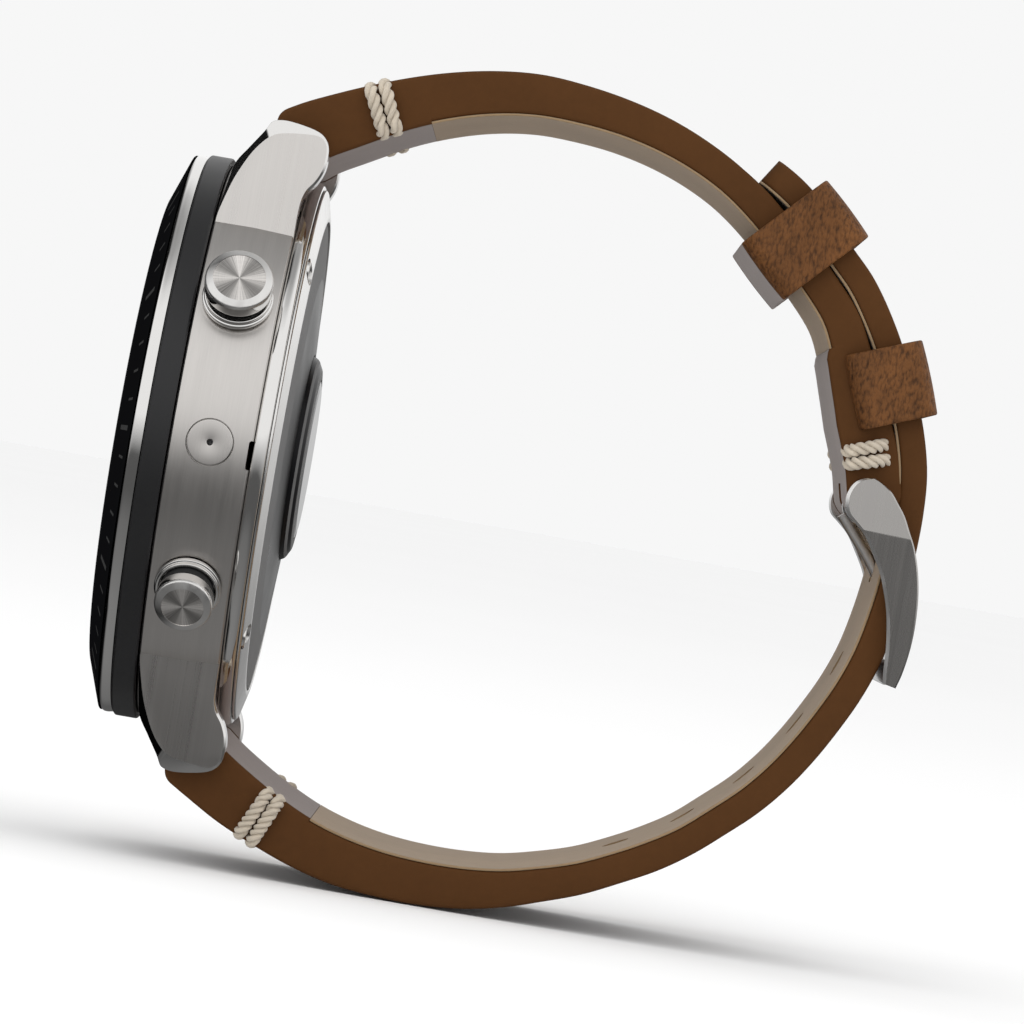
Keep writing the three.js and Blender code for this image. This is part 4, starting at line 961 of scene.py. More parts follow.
class WATCH_OT_back(Operator):
    """Rear band, sloped back ring with its four screws, back cover and sensor, turned round Y."""

    bl_idname = "watch.back"
    bl_label = "Back and sensor"

    def execute(self, context):
        sizes = context.scene.watch_case
        rear, back, sensor = mm(sizes.rear_radius), mm(sizes.back_radius), mm(sizes.sensor_radius)
        bright = FINISHES["polished"]
        profile = rounded([
            (21.7, CASE_BACK + 0.05), (rear - 0.12, CASE_BACK + 0.05), (rear + 0.02, CASE_BACK + 0.35),
            (rear, REAR_BAND_BACK - 0.35), (rear - 0.22, REAR_BAND_BACK), (21.7, REAR_BAND_BACK),
        ], [0.02, 0.12, 0.3, 0.3, 0.15, 0.02], 6)
        done(turned("rear_polished", profile, [bright]), "case", "rear_band", slot="polished_steel")
        profile = rounded([
            (PLATE_RADIUS + 0.1, REAR_BAND_BACK + 0.05), (back, REAR_BAND_BACK + 0.05),
            (back, REAR_BAND_BACK + 0.16), (back - 0.15, REAR_BAND_BACK + 0.28),
            (PLATE_RADIUS + 0.45, BACK_RING_BACK), (PLATE_RADIUS + 0.1, BACK_RING_BACK),
        ], [0.02, 0.02, 0.06, 0.06, 0.1, 0.04])
        ring = turned("back_slope", finer(profile, 0.6, True), [FINISHES["tip"]])
        angles = np.pi / 4 + np.arange(4) * np.pi / 2
        places = np.stack([SCREW_CIRCLE * np.cos(angles), SCREW_CIRCLE * np.sin(angles)], axis=1)
        holes = []
        for x, z in places:
            hole = turned("hole", [(0, -3.2), (1.05, -3.2), (1.05, 0), (0, 0)], [bright], 48, False)
            holes.append(shifted(hole, (x, 0, z)))
        done(cut(ring, holes), "case", "back_ring", slot="polished_steel")
        for index, (x, z) in enumerate(places, 1):
            head = rounded([(0, -5.5), (0.5, -5.5), (0.5, -2.4), (0.95, -2.4), (0.95, -1.93), (0, -1.93)],
                           [0, 0.05, 0.05, 0.05, 0.14, 0], 5, False)
            screw = turned(f"screw_{index}", head, [bright], 64, False)
            outline = [(0, -2.25), (0.42, -2.25), (0.42, -1.5), (0, -1.5)]
            recess = turned("recess", outline, [bright], 6, False)
            screw = shifted(cut(screw, [recess]), (x, 0, z))
            done(screw, "case", f"back_screw_{index}", slot="polished_steel")
        cover = rounded([
            (sensor + 0.1, -2.5), (PLATE_RADIUS, -2.5), (PLATE_RADIUS, -1.95), (PLATE_RADIUS - 0.25, -1.8),
            (15, -1.45), (sensor + 1.2, -1.1), (sensor + 0.1, -0.98),
        ], [0.02, 0.05, 0.12, 0.3, 2.0, 0.8, 0.1], 6)
        cover = finer(cover, 0.35, True)
        black = (cover[:, 0] < 14.8) & (cover[:, 1] > -1.6)
        finishes = [FINISHES["back"], FINISHES["sensor_black"]]
        piece = turned("cover_grey", cover, finishes, column_index=black.astype(int))
        done(piece, "case", "back_cover", slot="grey_plastic")
        dome = rounded([
            (6.6, -2.5), (sensor, -2.5), (sensor, -0.95), (sensor - 0.18, -0.64), (sensor - 0.4, -0.48),
            (sensor - 0.5, -0.44), (sensor - 0.95, -0.2), (6.6, -0.1),
        ], [0.02, 0.02, 0.06, 0.06, 0.05, 0.04, 0.12, 0.04], 5)
        dome = finer(dome, 0.2, True)
        black = (dome[:, 1] > -1.35) & (dome[:, 1] < -0.66) | (dome[:, 1] > -0.46) & (dome[:, 1] < -0.2)
        black &= dome[:, 0] > 7.2
        piece = turned("sensor_dome", dome, finishes, column_index=black.astype(int))
        done(piece, "case", "sensor_bezel", slot="grey_plastic")
        r = np.linspace(0, 5.9, 16)
        lens = np.stack([r, np.full(len(r), -0.02)], axis=1)
        edge = rounded([(5.9, -0.02), (6.5, -0.14), (6.5, -1.0), (0, -1.0)], [0, 0.1, 0.02, 0], 4, False)
        done(turned("sensor_lens", np.vstack([lens, edge]), [FINISHES["glass"]], closed=False),
             "case", "sensor_window", slot="black_glass")
        return {"FINISHED"}


class WATCH_OT_pushers(Operator):
    """The pushers at 2 and 4 o'clock: cap, seal and collar, profiles turned round each one's own axis."""

    bl_idname = "watch.pushers"
    bl_label = "Pushers"

    def execute(self, context):
        for label, side, head, flange in (("2", 1, 2.7, 2.8), ("4", -1, 2.3, 2.65)):
            turn = side * np.radians(30)
            r = np.concatenate([[0.0], np.linspace(0.03, head - 0.66, 22)])
            face = np.stack([r, 26.02 - 0.05 * (1 - r / head)], axis=1)
            rest = rounded([
                (head - 0.64, 26.05), (head - 0.07, 25.82), (head, 25.6), (head, 24.62), (head - 0.1, 24.45),
                (1.8, 24.45), (1.8, 22.7), (0.8, 22.7), (0.8, 19.4), (0, 19.4),
            ], [0.03, 0.14, 0.12, 0.1, 0.06, 0.05, 0.03, 0.03, 0.03, 0], 4, False)
            profile = np.vstack([face, rest])
            parts = np.where(profile[:, 1] > 25.55, 2, 0)
            parts[: len(face)] = 1
            finishes = [FINISHES["polished"], FINISHES["spun"], FINISHES["chamfer"]]
            cap = turned(f"cap_{label}", profile, finishes, 160, False, "X", parts, True, 24.0)
            cap = turn_about_y(cap, turn, PUSHER_Y)
            done(cap, f"pusher_{label}", f"pusher_{label}_cap", slot="polished_steel")
            seal = turned(f"seal_{label}", [(1.85, 23.35), (2.15, 23.35), (2.15, 24.35), (1.85, 24.35)],
                          [FINISHES["rubber"]], 96, True, "X")
            seal = turn_about_y(seal, turn, PUSHER_Y)
            done(seal, f"pusher_{label}", f"pusher_{label}_seal", slot="seal_rubber")
            profile = rounded([
                (0.9, 20.2), (2.5, 20.2), (2.5, 22.85), (flange, 22.85), (flange, 23.2),
                (flange - 0.1, 23.25),
                (flange - 0.14, 23.27), (flange - 0.14, 23.6), (flange - 0.22, 23.65), (2.25, 23.65),
                (2.25, 20.9), (0.9, 20.9),
            ], [0.02, 0.05, 0.02, 0.08, 0.1, 0.03, 0.02, 0.08, 0.05, 0.06, 0.05, 0.02])
            collar = turned(f"collar_{label}", profile, [FINISHES["polished"]], 128, True, "X", sharp=24.0)
            collar = turn_about_y(collar, turn, PUSHER_Y)
            done(collar, "case", f"pusher_{label}_collar", slot="polished_steel")
        return {"FINISHED"}


def strap_section(high, low, half, radius, crown, bulge):
    """Columns (x, h) of a strap's section for each row, and each column's face: 0 outer, 1 side, 2 inner.

    The section is a rectangle from low to high and from -half to half with its corners on circles of
    the radius. The outer face rises by crown * (1 - (x / half)^2), and the sides by bulge * (1 - v^2),
    where v runs from -1 to 1 over the side.
    """
    high, low, half = (np.asarray(value, float)[:, None] for value in (high, low, half))
    radius = np.minimum(radius, 0.48 * (high - low))
    quarter = np.linspace(0, np.pi / 2, 5)[None, :]
    across = np.linspace(1, -1, 17)[None, 1:-1]
    up = np.linspace(1, -1, 7)[None, 1:-1]
    flat, top, bottom = half - radius, high - radius, low + radius
    crowned = crown * (1 - across**2)
    bulged = bulge * (1 - up**2)
    middle, reach = (top + bottom) / 2, (top - bottom) / 2
    parts = [
        (flat + radius * np.cos(quarter), top + radius * np.sin(quarter), 1),
        (flat * across, high + crowned, 0),
        (-flat + radius * np.cos(quarter + np.pi / 2), top + radius * np.sin(quarter + np.pi / 2), 1),
        (-half - bulged, middle + reach * up, 1),
        (-flat + radius * np.cos(quarter + np.pi), bottom + radius * np.sin(quarter + np.pi), 1),
        (-flat * across, np.broadcast_to(low, np.broadcast_shapes(low.shape, across.shape)), 2),
        (flat + radius * np.cos(quarter + 1.5 * np.pi), bottom + radius * np.sin(quarter + 1.5 * np.pi), 1),
        (half + bulged, middle - reach * up, 1),
    ]
    x = np.concatenate([part[0] for part in parts], axis=1)
    h = np.concatenate([part[1] for part in parts], axis=1)
    kinds = np.concatenate([np.full(part[0].shape[1], part[2]) for part in parts])
    # A face belongs to the column it starts from; the last one of a corner starts the next face.
    following = np.roll(kinds, -1)
    return x, h, np.where(kinds == following, kinds, np.where(following == 1, kinds, following))


def swept_strap(name, path, s, high, low, half, materials, pick, radius=0.32, crown=0.12, bulge=0.05):
    """A section carried along a strap path: the point at (s, column) is the middle line at s plus
    h times the outward normal, and x across."""
    x, h, kinds = strap_section(high, low, half, radius, crown, bulge)
    point, normal, _ = path.at(s)
    y = point[:, :1] + normal[:, :1] * h
    z = point[:, 1:] + normal[:, 1:] * h
    loops = np.stack([x, y, z], axis=-1)
    middle = (s[:-1] + s[1:]) / 2
    indices = pick(np.repeat(middle, x.shape[1]), np.tile(kinds, len(middle)))
    return loops_mesh(name, loops, materials, indices, 40.0, (1, 1))


def nose(s, start, size):
    """1 along the strap, falling to 0 at start on a quarter circle of the given length."""
    return np.sqrt(np.clip(1 - (np.clip(start + size - s, 0, size) / size) ** 2, 0.0004, 1))


def hole_cutter(path, place, length_along, width):
    """A slot with round ends through the strap at a distance along it."""
    point, normal, _ = path.at(place)
    tangent = np.array([normal[0, 1], -normal[0, 0]])
    half = width / 2
    turn = np.linspace(0, np.pi, 9)
    top = np.stack([half * np.cos(turn), max(length_along / 2 - half, 0.01) + half * np.sin(turn)], axis=1)
    loop = np.vstack([top, -top])
    loops = []
    for height in (-4.0, 4.0):
        base = point[0] + normal[0] * height
        yz = base + tangent * loop[:, 1:]
        loops.append(np.column_stack([loop[:, 0], yz]))
    return loops_mesh("hole", loops, [FINISHES["edge"]])


LINING_START = 12.0


class WATCH_OT_short_strap(Operator):
    """The 12 o'clock half: leather turned back at both ends, and the lining between."""

    bl_idname = "watch.short_strap"
    bl_label = "Strap, 12 o'clock half"

    def execute(self, context):
        sizes = context.scene.watch_strap
        path, half, lining = SHORT_PATH, mm(sizes.half_width), mm(sizes.lining)
        lining_end = path.near(40.9, 16.4)
        end = path.length + 1.95
        s = np.unique(np.concatenate([
            np.linspace(-0.3, 1.6, 12), np.arange(2.0, path.length, 0.6), np.linspace(path.length, end, 9),
            [LINING_START - 0.02, LINING_START + 0.02, lining_end - 0.02, lining_end + 0.02],
        ]))
        _, _, thickness = path.at(s)
        fuller = 0.35 * np.clip(1 - s / 5, 0, 1) ** 2
        past = np.clip(s - path.length, 0, 1.95) / 1.96
        shape = nose(s, -0.3, 1.9) * np.sqrt(np.clip(1 - past**2, 0.001, 1))
        lined = (s > LINING_START) & (s < lining_end)
        # It swells a little under the tail, and more towards the buckle.
        under_tail = 0.12 * np.clip((s - path.near(29.9, 27.65)) / 3, 0, 1)
        under_tail += 0.22 * np.clip((s - path.near(33.5, 24.9)) / 3, 0, 1)
        under_tail += 0.18 * np.clip((s - path.near(38.8, 19.8)) / 3, 0, 1)
        under_tail += 0.2 * np.clip((s - path.near(41.2, 15.9)) / 4, 0, 1)
        high = (thickness / 2 + fuller + under_tail) * shape
        doubled = 0.35 * np.clip((s - lining_end) / 0.5, 0, 1) * np.clip((path.length - 2 - s) / 4, 0, 1)
        low = (-thickness / 2 - doubled) * shape + np.where(lined, lining, 0.0)

        def pick(place, kinds):
            turned_back = (place < LINING_START) | (place > lining_end)
            return np.where(kinds == 0, 0, np.where((kinds == 2) & turned_back, 2, 1))

        leather = [FINISHES["leather"], FINISHES["edge"], FINISHES["flesh"]]
        piece = swept_strap("strap_short", path, s, high, low, np.full(len(s), half), leather, pick,
                            mm(sizes.edge_round))
        notch = pin_along_x("notch", 2.6, -1.4, 1.4, PIN[0], PIN[1], FINISHES["edge"])
        done(cut(piece, [notch], 40.0), "case", "strap_12_leather", slot="brown_leather")
        s = np.arange(LINING_START, lining_end, 0.6)
        _, _, thickness = path.at(s)
        piece = swept_strap("lining_short", path, s, lining - thickness / 2, -thickness / 2,
                            np.full(len(s), half - 0.05), [FINISHES["lining"]],
                            lambda place, kinds: np.zeros_like(kinds), 0.12, 0.0, 0.0)
        piece.data.polygons.foreach_set("material_index", np.zeros(len(piece.data.polygons), np.int32))
        done(piece, "case", "strap_12_lining", slot="beige_lining")
        return {"FINISHED"}


class WATCH_OT_long_strap(Operator):
    """The 6 o'clock half with its holes: it passes through the buckle and both keepers, and its
    tip is cut nearly square, with round corners that follow a superellipse."""

    bl_idname = "watch.long_strap"
    bl_label = "Strap, 6 o'clock half"

    def execute(self, context):
        sizes = context.scene.watch_strap
        path, half, lining = LONG_PATH, mm(sizes.half_width), mm(sizes.lining)
        tip = 3.2
        s = np.unique(np.concatenate([
            np.linspace(-0.3, 1.6, 12), np.arange(2.0, path.length - tip, 0.6),
            path.length - tip * (1 - np.sin(np.linspace(0, np.pi / 2, 12))),
            [LINING_START - 0.02, LINING_START + 0.02],
        ]))
        _, _, thickness = path.at(s)
        fuller = 0.35 * np.clip(1 - s / 5, 0, 1) ** 2
        high = (thickness / 2 + fuller) * nose(s, -0.3, 1.9)
        low = -thickness / 2 * nose(s, -0.3, 1.9) + np.where(s > LINING_START, lining, 0.0)

        def width(place, full):
            past = np.clip((place - (path.length - tip)) / tip, 0, 0.998)
            return full * (0.8 + 0.2 * np.sqrt(1 - past**3))

        def pick(place, kinds):
            return np.where(kinds == 0, 0, np.where((kinds == 2) & (place < LINING_START), 2, 1))

        leather = [FINISHES["leather"], FINISHES["edge"], FINISHES["flesh"]]
        piece = swept_strap("strap_long", path, s, high, low, width(s, half), leather, pick,
                            mm(sizes.edge_round))
        used = path.near(47.9, -3.4)
        places = [used - step * mm(sizes.hole_pitch) for step in range(1, 6)]

        def holes():
            long, wide = mm(sizes.hole_length), mm(sizes.hole_width)
            found = [hole_cutter(path, place, long, wide) for place in places]
            tongue = mm(context.scene.watch_buckle.tongue_width) / 2
            for turn in np.radians([0.0, BUCKLE_LIFT, 2 * BUCKLE_LIFT]):
                loops = tongue_loops(tongue, TONGUE_ROOM, turn)
                found.append(loops_mesh("hole", loops, [FINISHES["edge"]]))
            return found

        done(cut(piece, holes(), 40.0), "case", "strap_6_leather", slot="brown_leather")
        s = s[s > LINING_START]
        _, _, thickness = path.at(s)
        piece = swept_strap("lining_long", path, s, lining - thickness / 2, -thickness / 2,
                            width(s, half - 0.05), [FINISHES["lining"]],
                            lambda place, kinds: np.zeros_like(kinds), 0.12, 0.0, 0.0)
        piece.data.polygons.foreach_set("material_index", np.zeros(len(piece.data.polygons), np.int32))
        done(cut(piece, holes(), 40.0), "case", "strap_6_lining", slot="beige_lining")
        return {"FINISHED"}


def tongue_loops(half, extra=0.0, turn=0.0):
    """The tongue's rod as loops: a rounded section, made larger by extra all round, that follows
    the line and thins towards the tip by sqrt(1 - u^2); all turned about the pin.
    """
    line = smooth_path(TONGUE_LINE, 12)
    tangent = np.gradient(line, axis=0)
    tangent /= np.linalg.norm(tangent, axis=1, keepdims=True)
    normal = np.stack([-tangent[:, 1], tangent[:, 0]], axis=1)
    t = np.linspace(0, 1, len(line))
    round_end = np.sqrt(np.clip(1 - np.clip((t - 0.94) / 0.061, 0, 1) ** 2, 0.01 + extra, 1))
    wide, high = half + extra, 0.45 + extra
    section = rounded([(-wide, -high), (wide, -high), (wide, high), (-wide, high)], 0.3, 4)
    across = section[None, :, 0] * round_end[:, None]
    height = section[None, :, 1] * round_end[:, None]
    y = line[:, :1] + normal[:, :1] * height - PIN[0]
    z = line[:, 1:] + normal[:, 1:] * height - PIN[1]
    cos, sin = np.cos(turn), np.sin(turn)
    return np.stack([across, PIN[0] + y * cos - z * sin, PIN[1] + y * sin + z * cos], axis=-1)


def keeper_band(name, route, run, wall, place, angle, closed):
    """A leather band carried round a route of (x, h) places: its section is the wall by the run,
    with round edges and a slight swell outwards of 0.1 * (1 - v^2).

    Its inner side is the leather's rough side, and so is all of a closed band's lowest stretch
    but its corners.
    """
    route = np.asarray(route, float)
    if closed:
        tangent = np.roll(route, -1, axis=0) - np.roll(route, 1, axis=0)
    else:
        tangent = np.gradient(route, axis=0)
    tangent /= np.linalg.norm(tangent, axis=1, keepdims=True)
    normal = np.stack([tangent[:, 1], -tangent[:, 0]], axis=1)
    section = rounded([(-run / 2, 0), (run / 2, 0), (run / 2, wall), (-run / 2, wall)], 0.18, 4)
    section = finer(section, 0.5, True)
    swell = 0.1 * np.clip(1 - (2 * section[:, 0] / run) ** 2, 0, 1) * (section[:, 1] > wall / 2)
    out = section[:, 1] + swell
    x = route[:, :1] + normal[:, :1] * out[None, :]
    h = route[:, 1:] + normal[:, 1:] * out[None, :]
    along = np.broadcast_to(section[None, :, 0], x.shape)
    y = place[0] + h * np.cos(angle) - along * np.sin(angle)
    z = place[1] + h * np.sin(angle) + along * np.cos(angle)
    points = np.stack([x, y, z], axis=-1)
    inside = (section[:, 1] < 0.02) & (np.abs(section[:, 0]) < run / 2 - 0.1)
    finishes = [FINISHES["keeper"], FINISHES["flesh"]]
    if closed:
        flat = np.abs(route[:, :1]) < np.abs(route[:, 0]).max() - 0.5
        under = (route[:, 1:] < route[:, 1].min() + 0.05) & flat
        rough = inside[None, :] | under
        faces = grid_faces(len(route), len(section), True, True)
        return add_mesh(name, points.reshape(-1, 3), [faces], finishes, rough.astype(int).ravel(), None, 45.0)
    return loops_mesh(name, points, finishes, np.tile(inside.astype(int), len(route) - 1), 45.0, (0, 0))


class WATCH_OT_keepers(Operator):
    """The free and the fixed keeper, bands carried round the strap."""

    bl_idname = "watch.keepers"
    bl_label = "Keepers"

    def execute(self, context):
        sizes = context.scene.watch_strap
        wall, half = mm(sizes.keeper_wall), mm(sizes.half_width)
        side = half + 0.35
        low, high = -2.75 + wall, 5.75 - wall
        route = rounded([(side, low), (side, high), (-side, high), (-side, low)], 0.4, 5)
        angle = np.radians(FREE_KEEPER_TURN)
        free = keeper_band("keeper_free", finer(route, 0.8, True), 5.65, wall, FREE_KEEPER_PLACE, angle, True)
        done(free, "free_keeper", "free_keeper", slot="grained_leather")
        side = half + 0.3
        tuck, high = side - 1.7, 6.2 - wall
        route = rounded([
            (tuck, 0.9), (side, 0.9), (side, high), (-side, high), (-side, 0.9), (-tuck, 0.9),
        ], [0, 0.25, 0.4, 0.4, 0.25, 0], 5, False)
        angle = np.radians(FIXED_KEEPER_TURN)
        fixed = keeper_band("keeper_fixed", finer(route, 0.8), 6.1, wall, FIXED_KEEPER_PLACE, angle, False)
        done(fixed, "case", "fixed_keeper", slot="grained_leather")
        return {"FINISHED"}


def rope(name, routes, radius, twist):
    """Twisted rope along routes of (x, y, z): each of three strands runs on a helix of 0.52 radius
    round the route, once round for each twist length, and has a round section of 0.5 radius."""
    points, faces, uv, start = [], [], [], 0
    for route in routes:
        line = smooth_path(route, 20)
        along = np.concatenate([[0], np.cumsum(np.linalg.norm(np.diff(line, axis=0), axis=1))])
        s = np.linspace(0, along[-1], max(40, int(along[-1] / 0.11)))
        line = np.stack([np.interp(s, along, line[:, k]) for k in range(3)], axis=1)
        tangent = np.gradient(line, axis=0)
        tangent /= np.linalg.norm(tangent, axis=1, keepdims=True)
        across = np.cross(tangent, ROPE_SIDE)
        across /= np.linalg.norm(across, axis=1, keepdims=True)
        third = np.cross(tangent, across)
        for strand in range(3):
            turn = 2 * np.pi * (s / twist + strand / 3)
            centre = line + 0.52 * radius * (across * np.cos(turn)[:, None] + third * np.sin(turn)[:, None])
            v = np.linspace(0, 2 * np.pi, 10, endpoint=False)
            size = 0.5 * radius * np.sqrt(np.clip(1 - (np.abs(2 * s / s[-1] - 1)) ** 40, 0.01, 1))
            tube = centre[:, None] + size[:, None, None] * (
                across[:, None] * np.cos(v)[None, :, None] + third[:, None] * np.sin(v)[None, :, None]
            )
            points.append(tube.reshape(-1, 3))
            faces.append(grid_faces(len(s), 10, False, True) + start)
            pair = np.broadcast_arrays(s[:, None], v[None, :] / (2 * np.pi))
            uv.append(np.stack(pair, axis=-1).reshape(-1, 2))
            ring = np.arange(10)
            faces.append(np.stack([start + ring, start + (ring + 1) % 10, np.full(10, start)], axis=1)[1:-1])
            last = start + (len(s) - 1) * 10
            faces.append(np.stack([last + (ring + 1) % 10, last + ring, np.full(10, last)], axis=1)[1:-1])
            start += len(s) * 10
    return add_mesh(name, np.vstack(points), faces, [FINISHES["rope"]], None, np.vstack(uv), 60.0)


ROPE_SIDE = np.array([0.0, 0.31, 0.95])


class WATCH_OT_stitches(Operator):
    """Two turns of rope round each edge of the strap by the lugs and the buckle."""

    bl_idname = "watch.stitches"
    bl_label = "Rope stitches"

    def execute(self, context):
        sizes = context.scene.watch_strap
        radius, edge = mm(sizes.rope), mm(sizes.half_width)
        clear = radius + 0.02
        places = [
            ("12", SHORT_PATH, 8.4, True), ("6", LONG_PATH, 8.4, True),
            ("buckle", SHORT_PATH, SHORT_PATH.near(44.2, 8.0), False),
        ]
        for label, path, distance, over in places:
            _, _, thickness = path.at(distance)
            face = thickness[0] / 2
            outer = [(edge - 2.6, face - 0.9), (edge - 2.0, face - 0.28), (edge - 0.4, face - 0.25),
                     (edge + 0.3, face - 0.5)] if over else [(edge - 0.3, face - 0.2)]
            section = outer + [
                (edge + clear, face - 1.1), (edge + clear, 1.3 - face), (edge + 0.45, 0.6 - face),
                (edge - 0.45, 0.3 - face), (edge - 1.1, 0.5 - face), (edge - 1.6, 1.1 - face),
            ]
            for side, hand in ((1, "right"), (-1, "left")):
                routes = []
                for shift in (-1, 1):
                    x, h = np.asarray(section).T
                    point, normal, _ = path.at(np.full(len(x), distance + shift * radius * 1.02))
                    routes.append(np.column_stack([side * x, point + normal * h[:, None]]))
                piece = rope(f"rope_{label}_{hand}", routes, radius, mm(sizes.rope_twist))
                done(piece, "case", f"stitch_{label}_{hand}", slot="cream_rope")
        return {"FINISHED"}


class WATCH_OT_buckle(Operator):
    """The buckle frame and tongue.

    An arm is a grid of (t, w): at each t down the arm the section runs from the inner edge line to
    the outer one, its face leaning back from a fold line, with a bevel on both edges.
    """

    bl_idname = "watch.buckle"
    bl_label = "Buckle"

    def execute(self, context):
        sizes = context.scene.watch_buckle
        inner_x, outer_x, edge = mm(sizes.arm_inner), mm(sizes.arm_outer), mm(sizes.arm_bevel)
        left, right = smooth_path(ARM_INNER_EDGE, 8), smooth_path(ARM_OUTER_EDGE, 8)
        fold, whole = 2.0, np.arange(len(left))
        mid_z = (left[:, 1] + right[:, 1]) / 2
        # Two more places close together make the fold crisp.
        creases = np.interp([-fold - 0.02, -fold + 0.02], -mid_z, whole)
        places = np.sort(np.concatenate([whole, creases]))
        left = np.stack([np.interp(places, whole, left[:, k]) for k in range(2)], axis=1)
        right = np.stack([np.interp(places, whole, right[:, k]) for k in range(2)], axis=1)
        mid_z = (left[:, 1] + right[:, 1]) / 2
        lean = np.where(mid_z > fold, 0.03, 0.092) * np.abs(mid_z - fold)
        span = right - left
        reach = np.linalg.norm(span, axis=1)
        margin = np.minimum(edge / reach, 0.35)
        # The bevel is wider on the side of the watch.
        none = np.zeros(len(margin))
        columns = [(none, 0.0), (2.2 * margin, 1.0), (1 - margin, 1.0), (none + 1, 0.0)]
        face_x = outer_x - lean
        rows = []
        for share, raised in columns:
            yz = left + span * share[:, None]
            rows.append(np.column_stack([np.where(raised, face_x, face_x - edge * 1.1), yz]))
        for share in (1 - margin * 0.6, margin * 0.6):
            yz = left + span * share[:, None]
            rows.append(np.column_stack([np.full(len(left), inner_x), yz]))
        section = np.stack(rows, axis=1)
        indices = np.tile([2, 0, 0, 0, 1, 1], len(left) - 1)
        arms = []
        for side, hand in ((1, "right"), (-1, "left")):
            arm = loops_mesh(f"buckle_arm_{hand}", mirrored(section, side, 1),
                             [FINISHES["arm"], FINISHES["polished"], FINISHES["chamfer"]], indices,
                             24.0, (1, 1))
            hole = pin_along_x("hole", 0.6, min(side * 10, side * 12.5), max(side * 10, side * 12.5),
                               PIN[0], PIN[1], FINISHES["polished"], 32)
            cut(arm, [hole], 24.0)
            done(bevel(arm, 0.04), "buckle_frame", slot="brushed_steel")
            arms.append(arm)
        bar = finer(rounded([(48.4, -8.1), (48.95, -7.8), (49.1, -9.6), (48.5, -9.9)], 0.25, 4), 0.4, True)
        x = np.linspace(-inner_x - 0.4, inner_x + 0.4, 25)
        loops = [np.column_stack([np.full(len(bar), place), bar]) for place in x]
        cross = loops_mesh("buckle_cross_bar", loops, [FINISHES["polished"]], None, 30.0)
        done(cross, "buckle_frame", "buckle_frame", slot="brushed_steel")
        self.tongue(mm(sizes.tongue_width) / 2)
        return {"FINISHED"}

    def tongue(self, half):
        """A ring round the bar, and a rod whose rounded section thins towards the tip."""
        ring = rounded([(0.95, -half), (1.65, -half), (1.65, half), (0.95, half)], 0.2, 4)
        eye = turned("tongue_eye", ring, [FINISHES["polished"]], 64, True, "X")
        done(shifted(eye, (0, PIN[0], PIN[1])), "buckle_tongue", "buckle_tongue", slot="polished_steel")
        rod = loops_mesh("tongue_rod", tongue_loops(half), [FINISHES["chamfer"]], None, 40.0)
        done(rod, "buckle_tongue", slot="polished_steel")


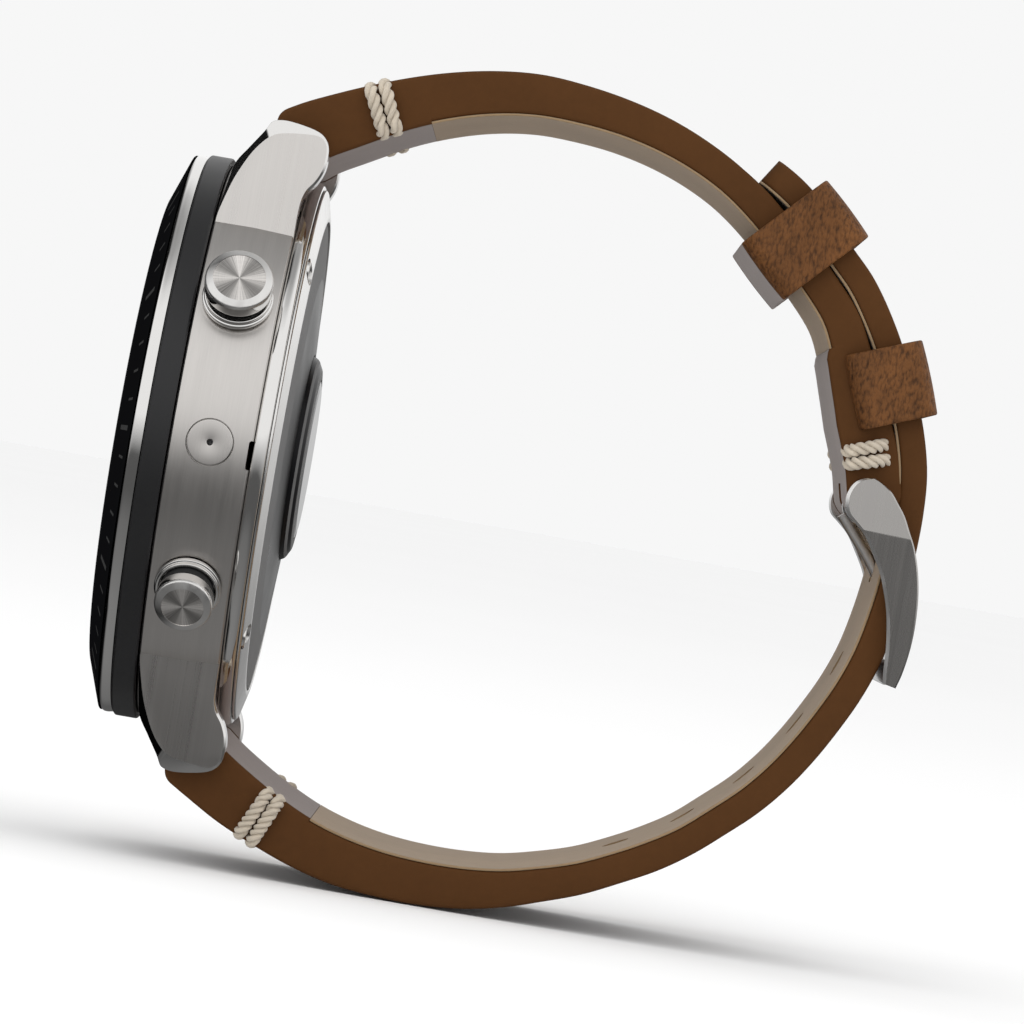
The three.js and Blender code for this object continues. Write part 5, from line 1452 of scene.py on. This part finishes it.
class WATCH_OT_stage(Operator):
    """Pale floor, soft light and the camera."""

    bl_idname = "watch.stage"
    bl_label = "Stage"

    def execute(self, context):
        sizes = context.scene.watch_stage
        scene = context.scene
        base = tuple(sizes.floor)
        material, nodes, shader, place = finish("pale_floor", base, 0.9, 0.0, Specular_IOR_Level=0.0)
        tone = nodes.noise(nodes.stretch(place, (2.0, 2.0, 2.0)), 1.0, 2.0, 0.5)
        wire(nodes, shader, Base_Color=nodes.ramp(tone, [(0.3, base), (0.7, shade(base, 1.01)[:3])]))
        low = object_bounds()[0][2] / MM
        radius = sizes.floor_radius / MM
        r = np.array([0, 100, 300, 900, 2500, radius])
        profile = np.vstack([np.stack([r, np.full(6, low)], axis=1), [(radius, low - 5), (0, low - 5)]])
        angle = np.linspace(0, 2 * np.pi, 96, endpoint=False)[:, None]
        points = np.stack(np.broadcast_arrays(
            profile[None, :, 0] * np.cos(angle), profile[None, :, 0] * np.sin(angle), profile[None, :, 1],
        ), axis=-1)
        faces = grid_faces(96, len(profile), True, False)
        floor = add_mesh("floor", points.reshape(-1, 3), [faces], [material])
        weld(floor)
        floor.visible_glossy = False
        floor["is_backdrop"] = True
        self.light_room(scene, sizes)
        camera = bpy.data.objects.new("camera", bpy.data.cameras.new("camera"))
        scene.collection.objects.link(camera)
        camera.data.lens = sizes.lens
        camera.data.sensor_width = 36.0
        camera.data.clip_start = 0.01
        camera.data.clip_end = 40.0
        camera.data.shift_x = -0.0273
        camera.data.shift_y = 0.002
        # Looks along -X, rolled so that the case's back leans to the right.
        roll = np.radians(9.86)
        right = np.array([0.0, np.cos(roll), np.sin(roll)])
        up = np.array([0.0, -np.sin(roll), np.cos(roll)])
        behind = np.array([1.0, 0.0, 0.0])
        matrix = np.eye(4)
        matrix[:3, 0], matrix[:3, 1], matrix[:3, 2] = right, up, behind
        matrix[:3, 3] = (0.472, 0.0193, -0.0011)
        camera.matrix_world = matrix.T.tolist()
        scene.camera = camera
        return {"FINISHED"}

    def light_room(self, scene, sizes):
        """Even light for the matt surfaces, and for reflections a room that is bright on the level
        and above, darker overhead and dark below, by the height of the direction."""
        world = bpy.data.worlds.new("room")
        world.use_nodes = True
        scene.world = world
        nodes = Nodes(world.node_tree)
        background = world.node_tree.nodes["Background"]
        direction = nodes.add("ShaderNodeTexCoord").outputs["Generated"]
        parts = nodes.add("ShaderNodeSeparateXYZ", {0: direction}).outputs
        slope = nodes.math("MULTIPLY_ADD", nodes.math("ARCSINE", parts[2]), 1 / np.pi, 0.5)

        def at(degrees):
            return 0.5 + degrees / 180

        level = nodes.ramp(slope, [
            (at(-90), 0.24), (at(-72), 0.23), (at(-36), 0.17), (at(-24), 0.105), (at(-9), 0.105),
            (at(-2), 0.55), (at(6), 1.0), (at(50), 1.0), (at(58), 0.84), (at(64), 0.62), (at(76), 0.4),
            (at(90), 0.33),
        ])
        # A dark wall stands before the display, except on the side of the pushers.
        forward = nodes.math("MULTIPLY_ADD", parts[1], 0.5, 0.5)
        ahead = nodes.ramp(forward, [(0.12, 0.008), (0.27, 0.025), (0.42, 1.0)])
        sideways = nodes.math("MULTIPLY_ADD", parts[0], 0.5, 0.5)
        beside = nodes.ramp(sideways, [(0.54, 0.0), (0.62, 1.0)])
        ahead = nodes.math("MAXIMUM", ahead, beside)
        room = nodes.mix(1.0, level, ahead, "MULTIPLY")
        rays = nodes.add("ShaderNodeLightPath").outputs
        even = (sizes.sky, sizes.sky, sizes.sky, 1.0)
        seen = nodes.mix(rays["Is Camera Ray"], even, (0.93, 0.93, 0.93, 1.0))
        light = nodes.mix(rays["Is Glossy Ray"], seen, room)
        nodes.tree.links.new(light, background.inputs["Color"])
        lamp = bpy.data.lights.new("key", "AREA")
        lamp.energy = sizes.key
        lamp.shape = "DISK"
        lamp.size = 1.3
        key = bpy.data.objects.new("key", lamp)
        scene.collection.objects.link(key)
        key.location = (0.55, -0.25, 0.75)
        key.rotation_euler = (np.radians(-22), np.radians(35), 0)
        key.visible_glossy = False
        scene.view_settings.view_transform = "Standard"


OPERATORS = (
    WATCH_OT_finishes, WATCH_OT_front, WATCH_OT_case, WATCH_OT_lugs, WATCH_OT_back, WATCH_OT_pushers,
    WATCH_OT_short_strap, WATCH_OT_long_strap, WATCH_OT_keepers, WATCH_OT_stitches, WATCH_OT_buckle,
    WATCH_OT_stage,
)
SETTINGS = {
    "watch_case": WatchCaseSizes,
    "watch_strap": WatchStrapSizes,
    "watch_buckle": WatchBuckleSizes,
    "watch_colours": WatchColours,
    "watch_stage": WatchStageSizes,
}


class WATCH_PT_panel(Panel):
    """The watch's pieces and sizes."""

    bl_idname = "WATCH_PT_panel"
    bl_label = "Watch"
    bl_space_type = "VIEW_3D"
    bl_region_type = "UI"
    bl_category = "Watch"

    def draw(self, context):
        for operator in OPERATORS:
            self.layout.operator(operator.bl_idname)
        for name, group in SETTINGS.items():
            box = self.layout.box()
            settings = getattr(context.scene, name)
            for key in group.__annotations__:
                box.prop(settings, key)


CLASSES = (*SETTINGS.values(), *OPERATORS, WATCH_PT_panel)


def register():
    for item in CLASSES:
        bpy.utils.register_class(item)
    for name, group in SETTINGS.items():
        setattr(bpy.types.Scene, name, PointerProperty(type=group))


def unregister():
    for name in SETTINGS:
        delattr(bpy.types.Scene, name)
    for item in reversed(CLASSES):
        bpy.utils.unregister_class(item)


def main():
    register()
    for operator in OPERATORS:
        group, name = operator.bl_idname.split(".")
        getattr(getattr(bpy.ops, group), name)()


if __name__ == "__main__":
    main()
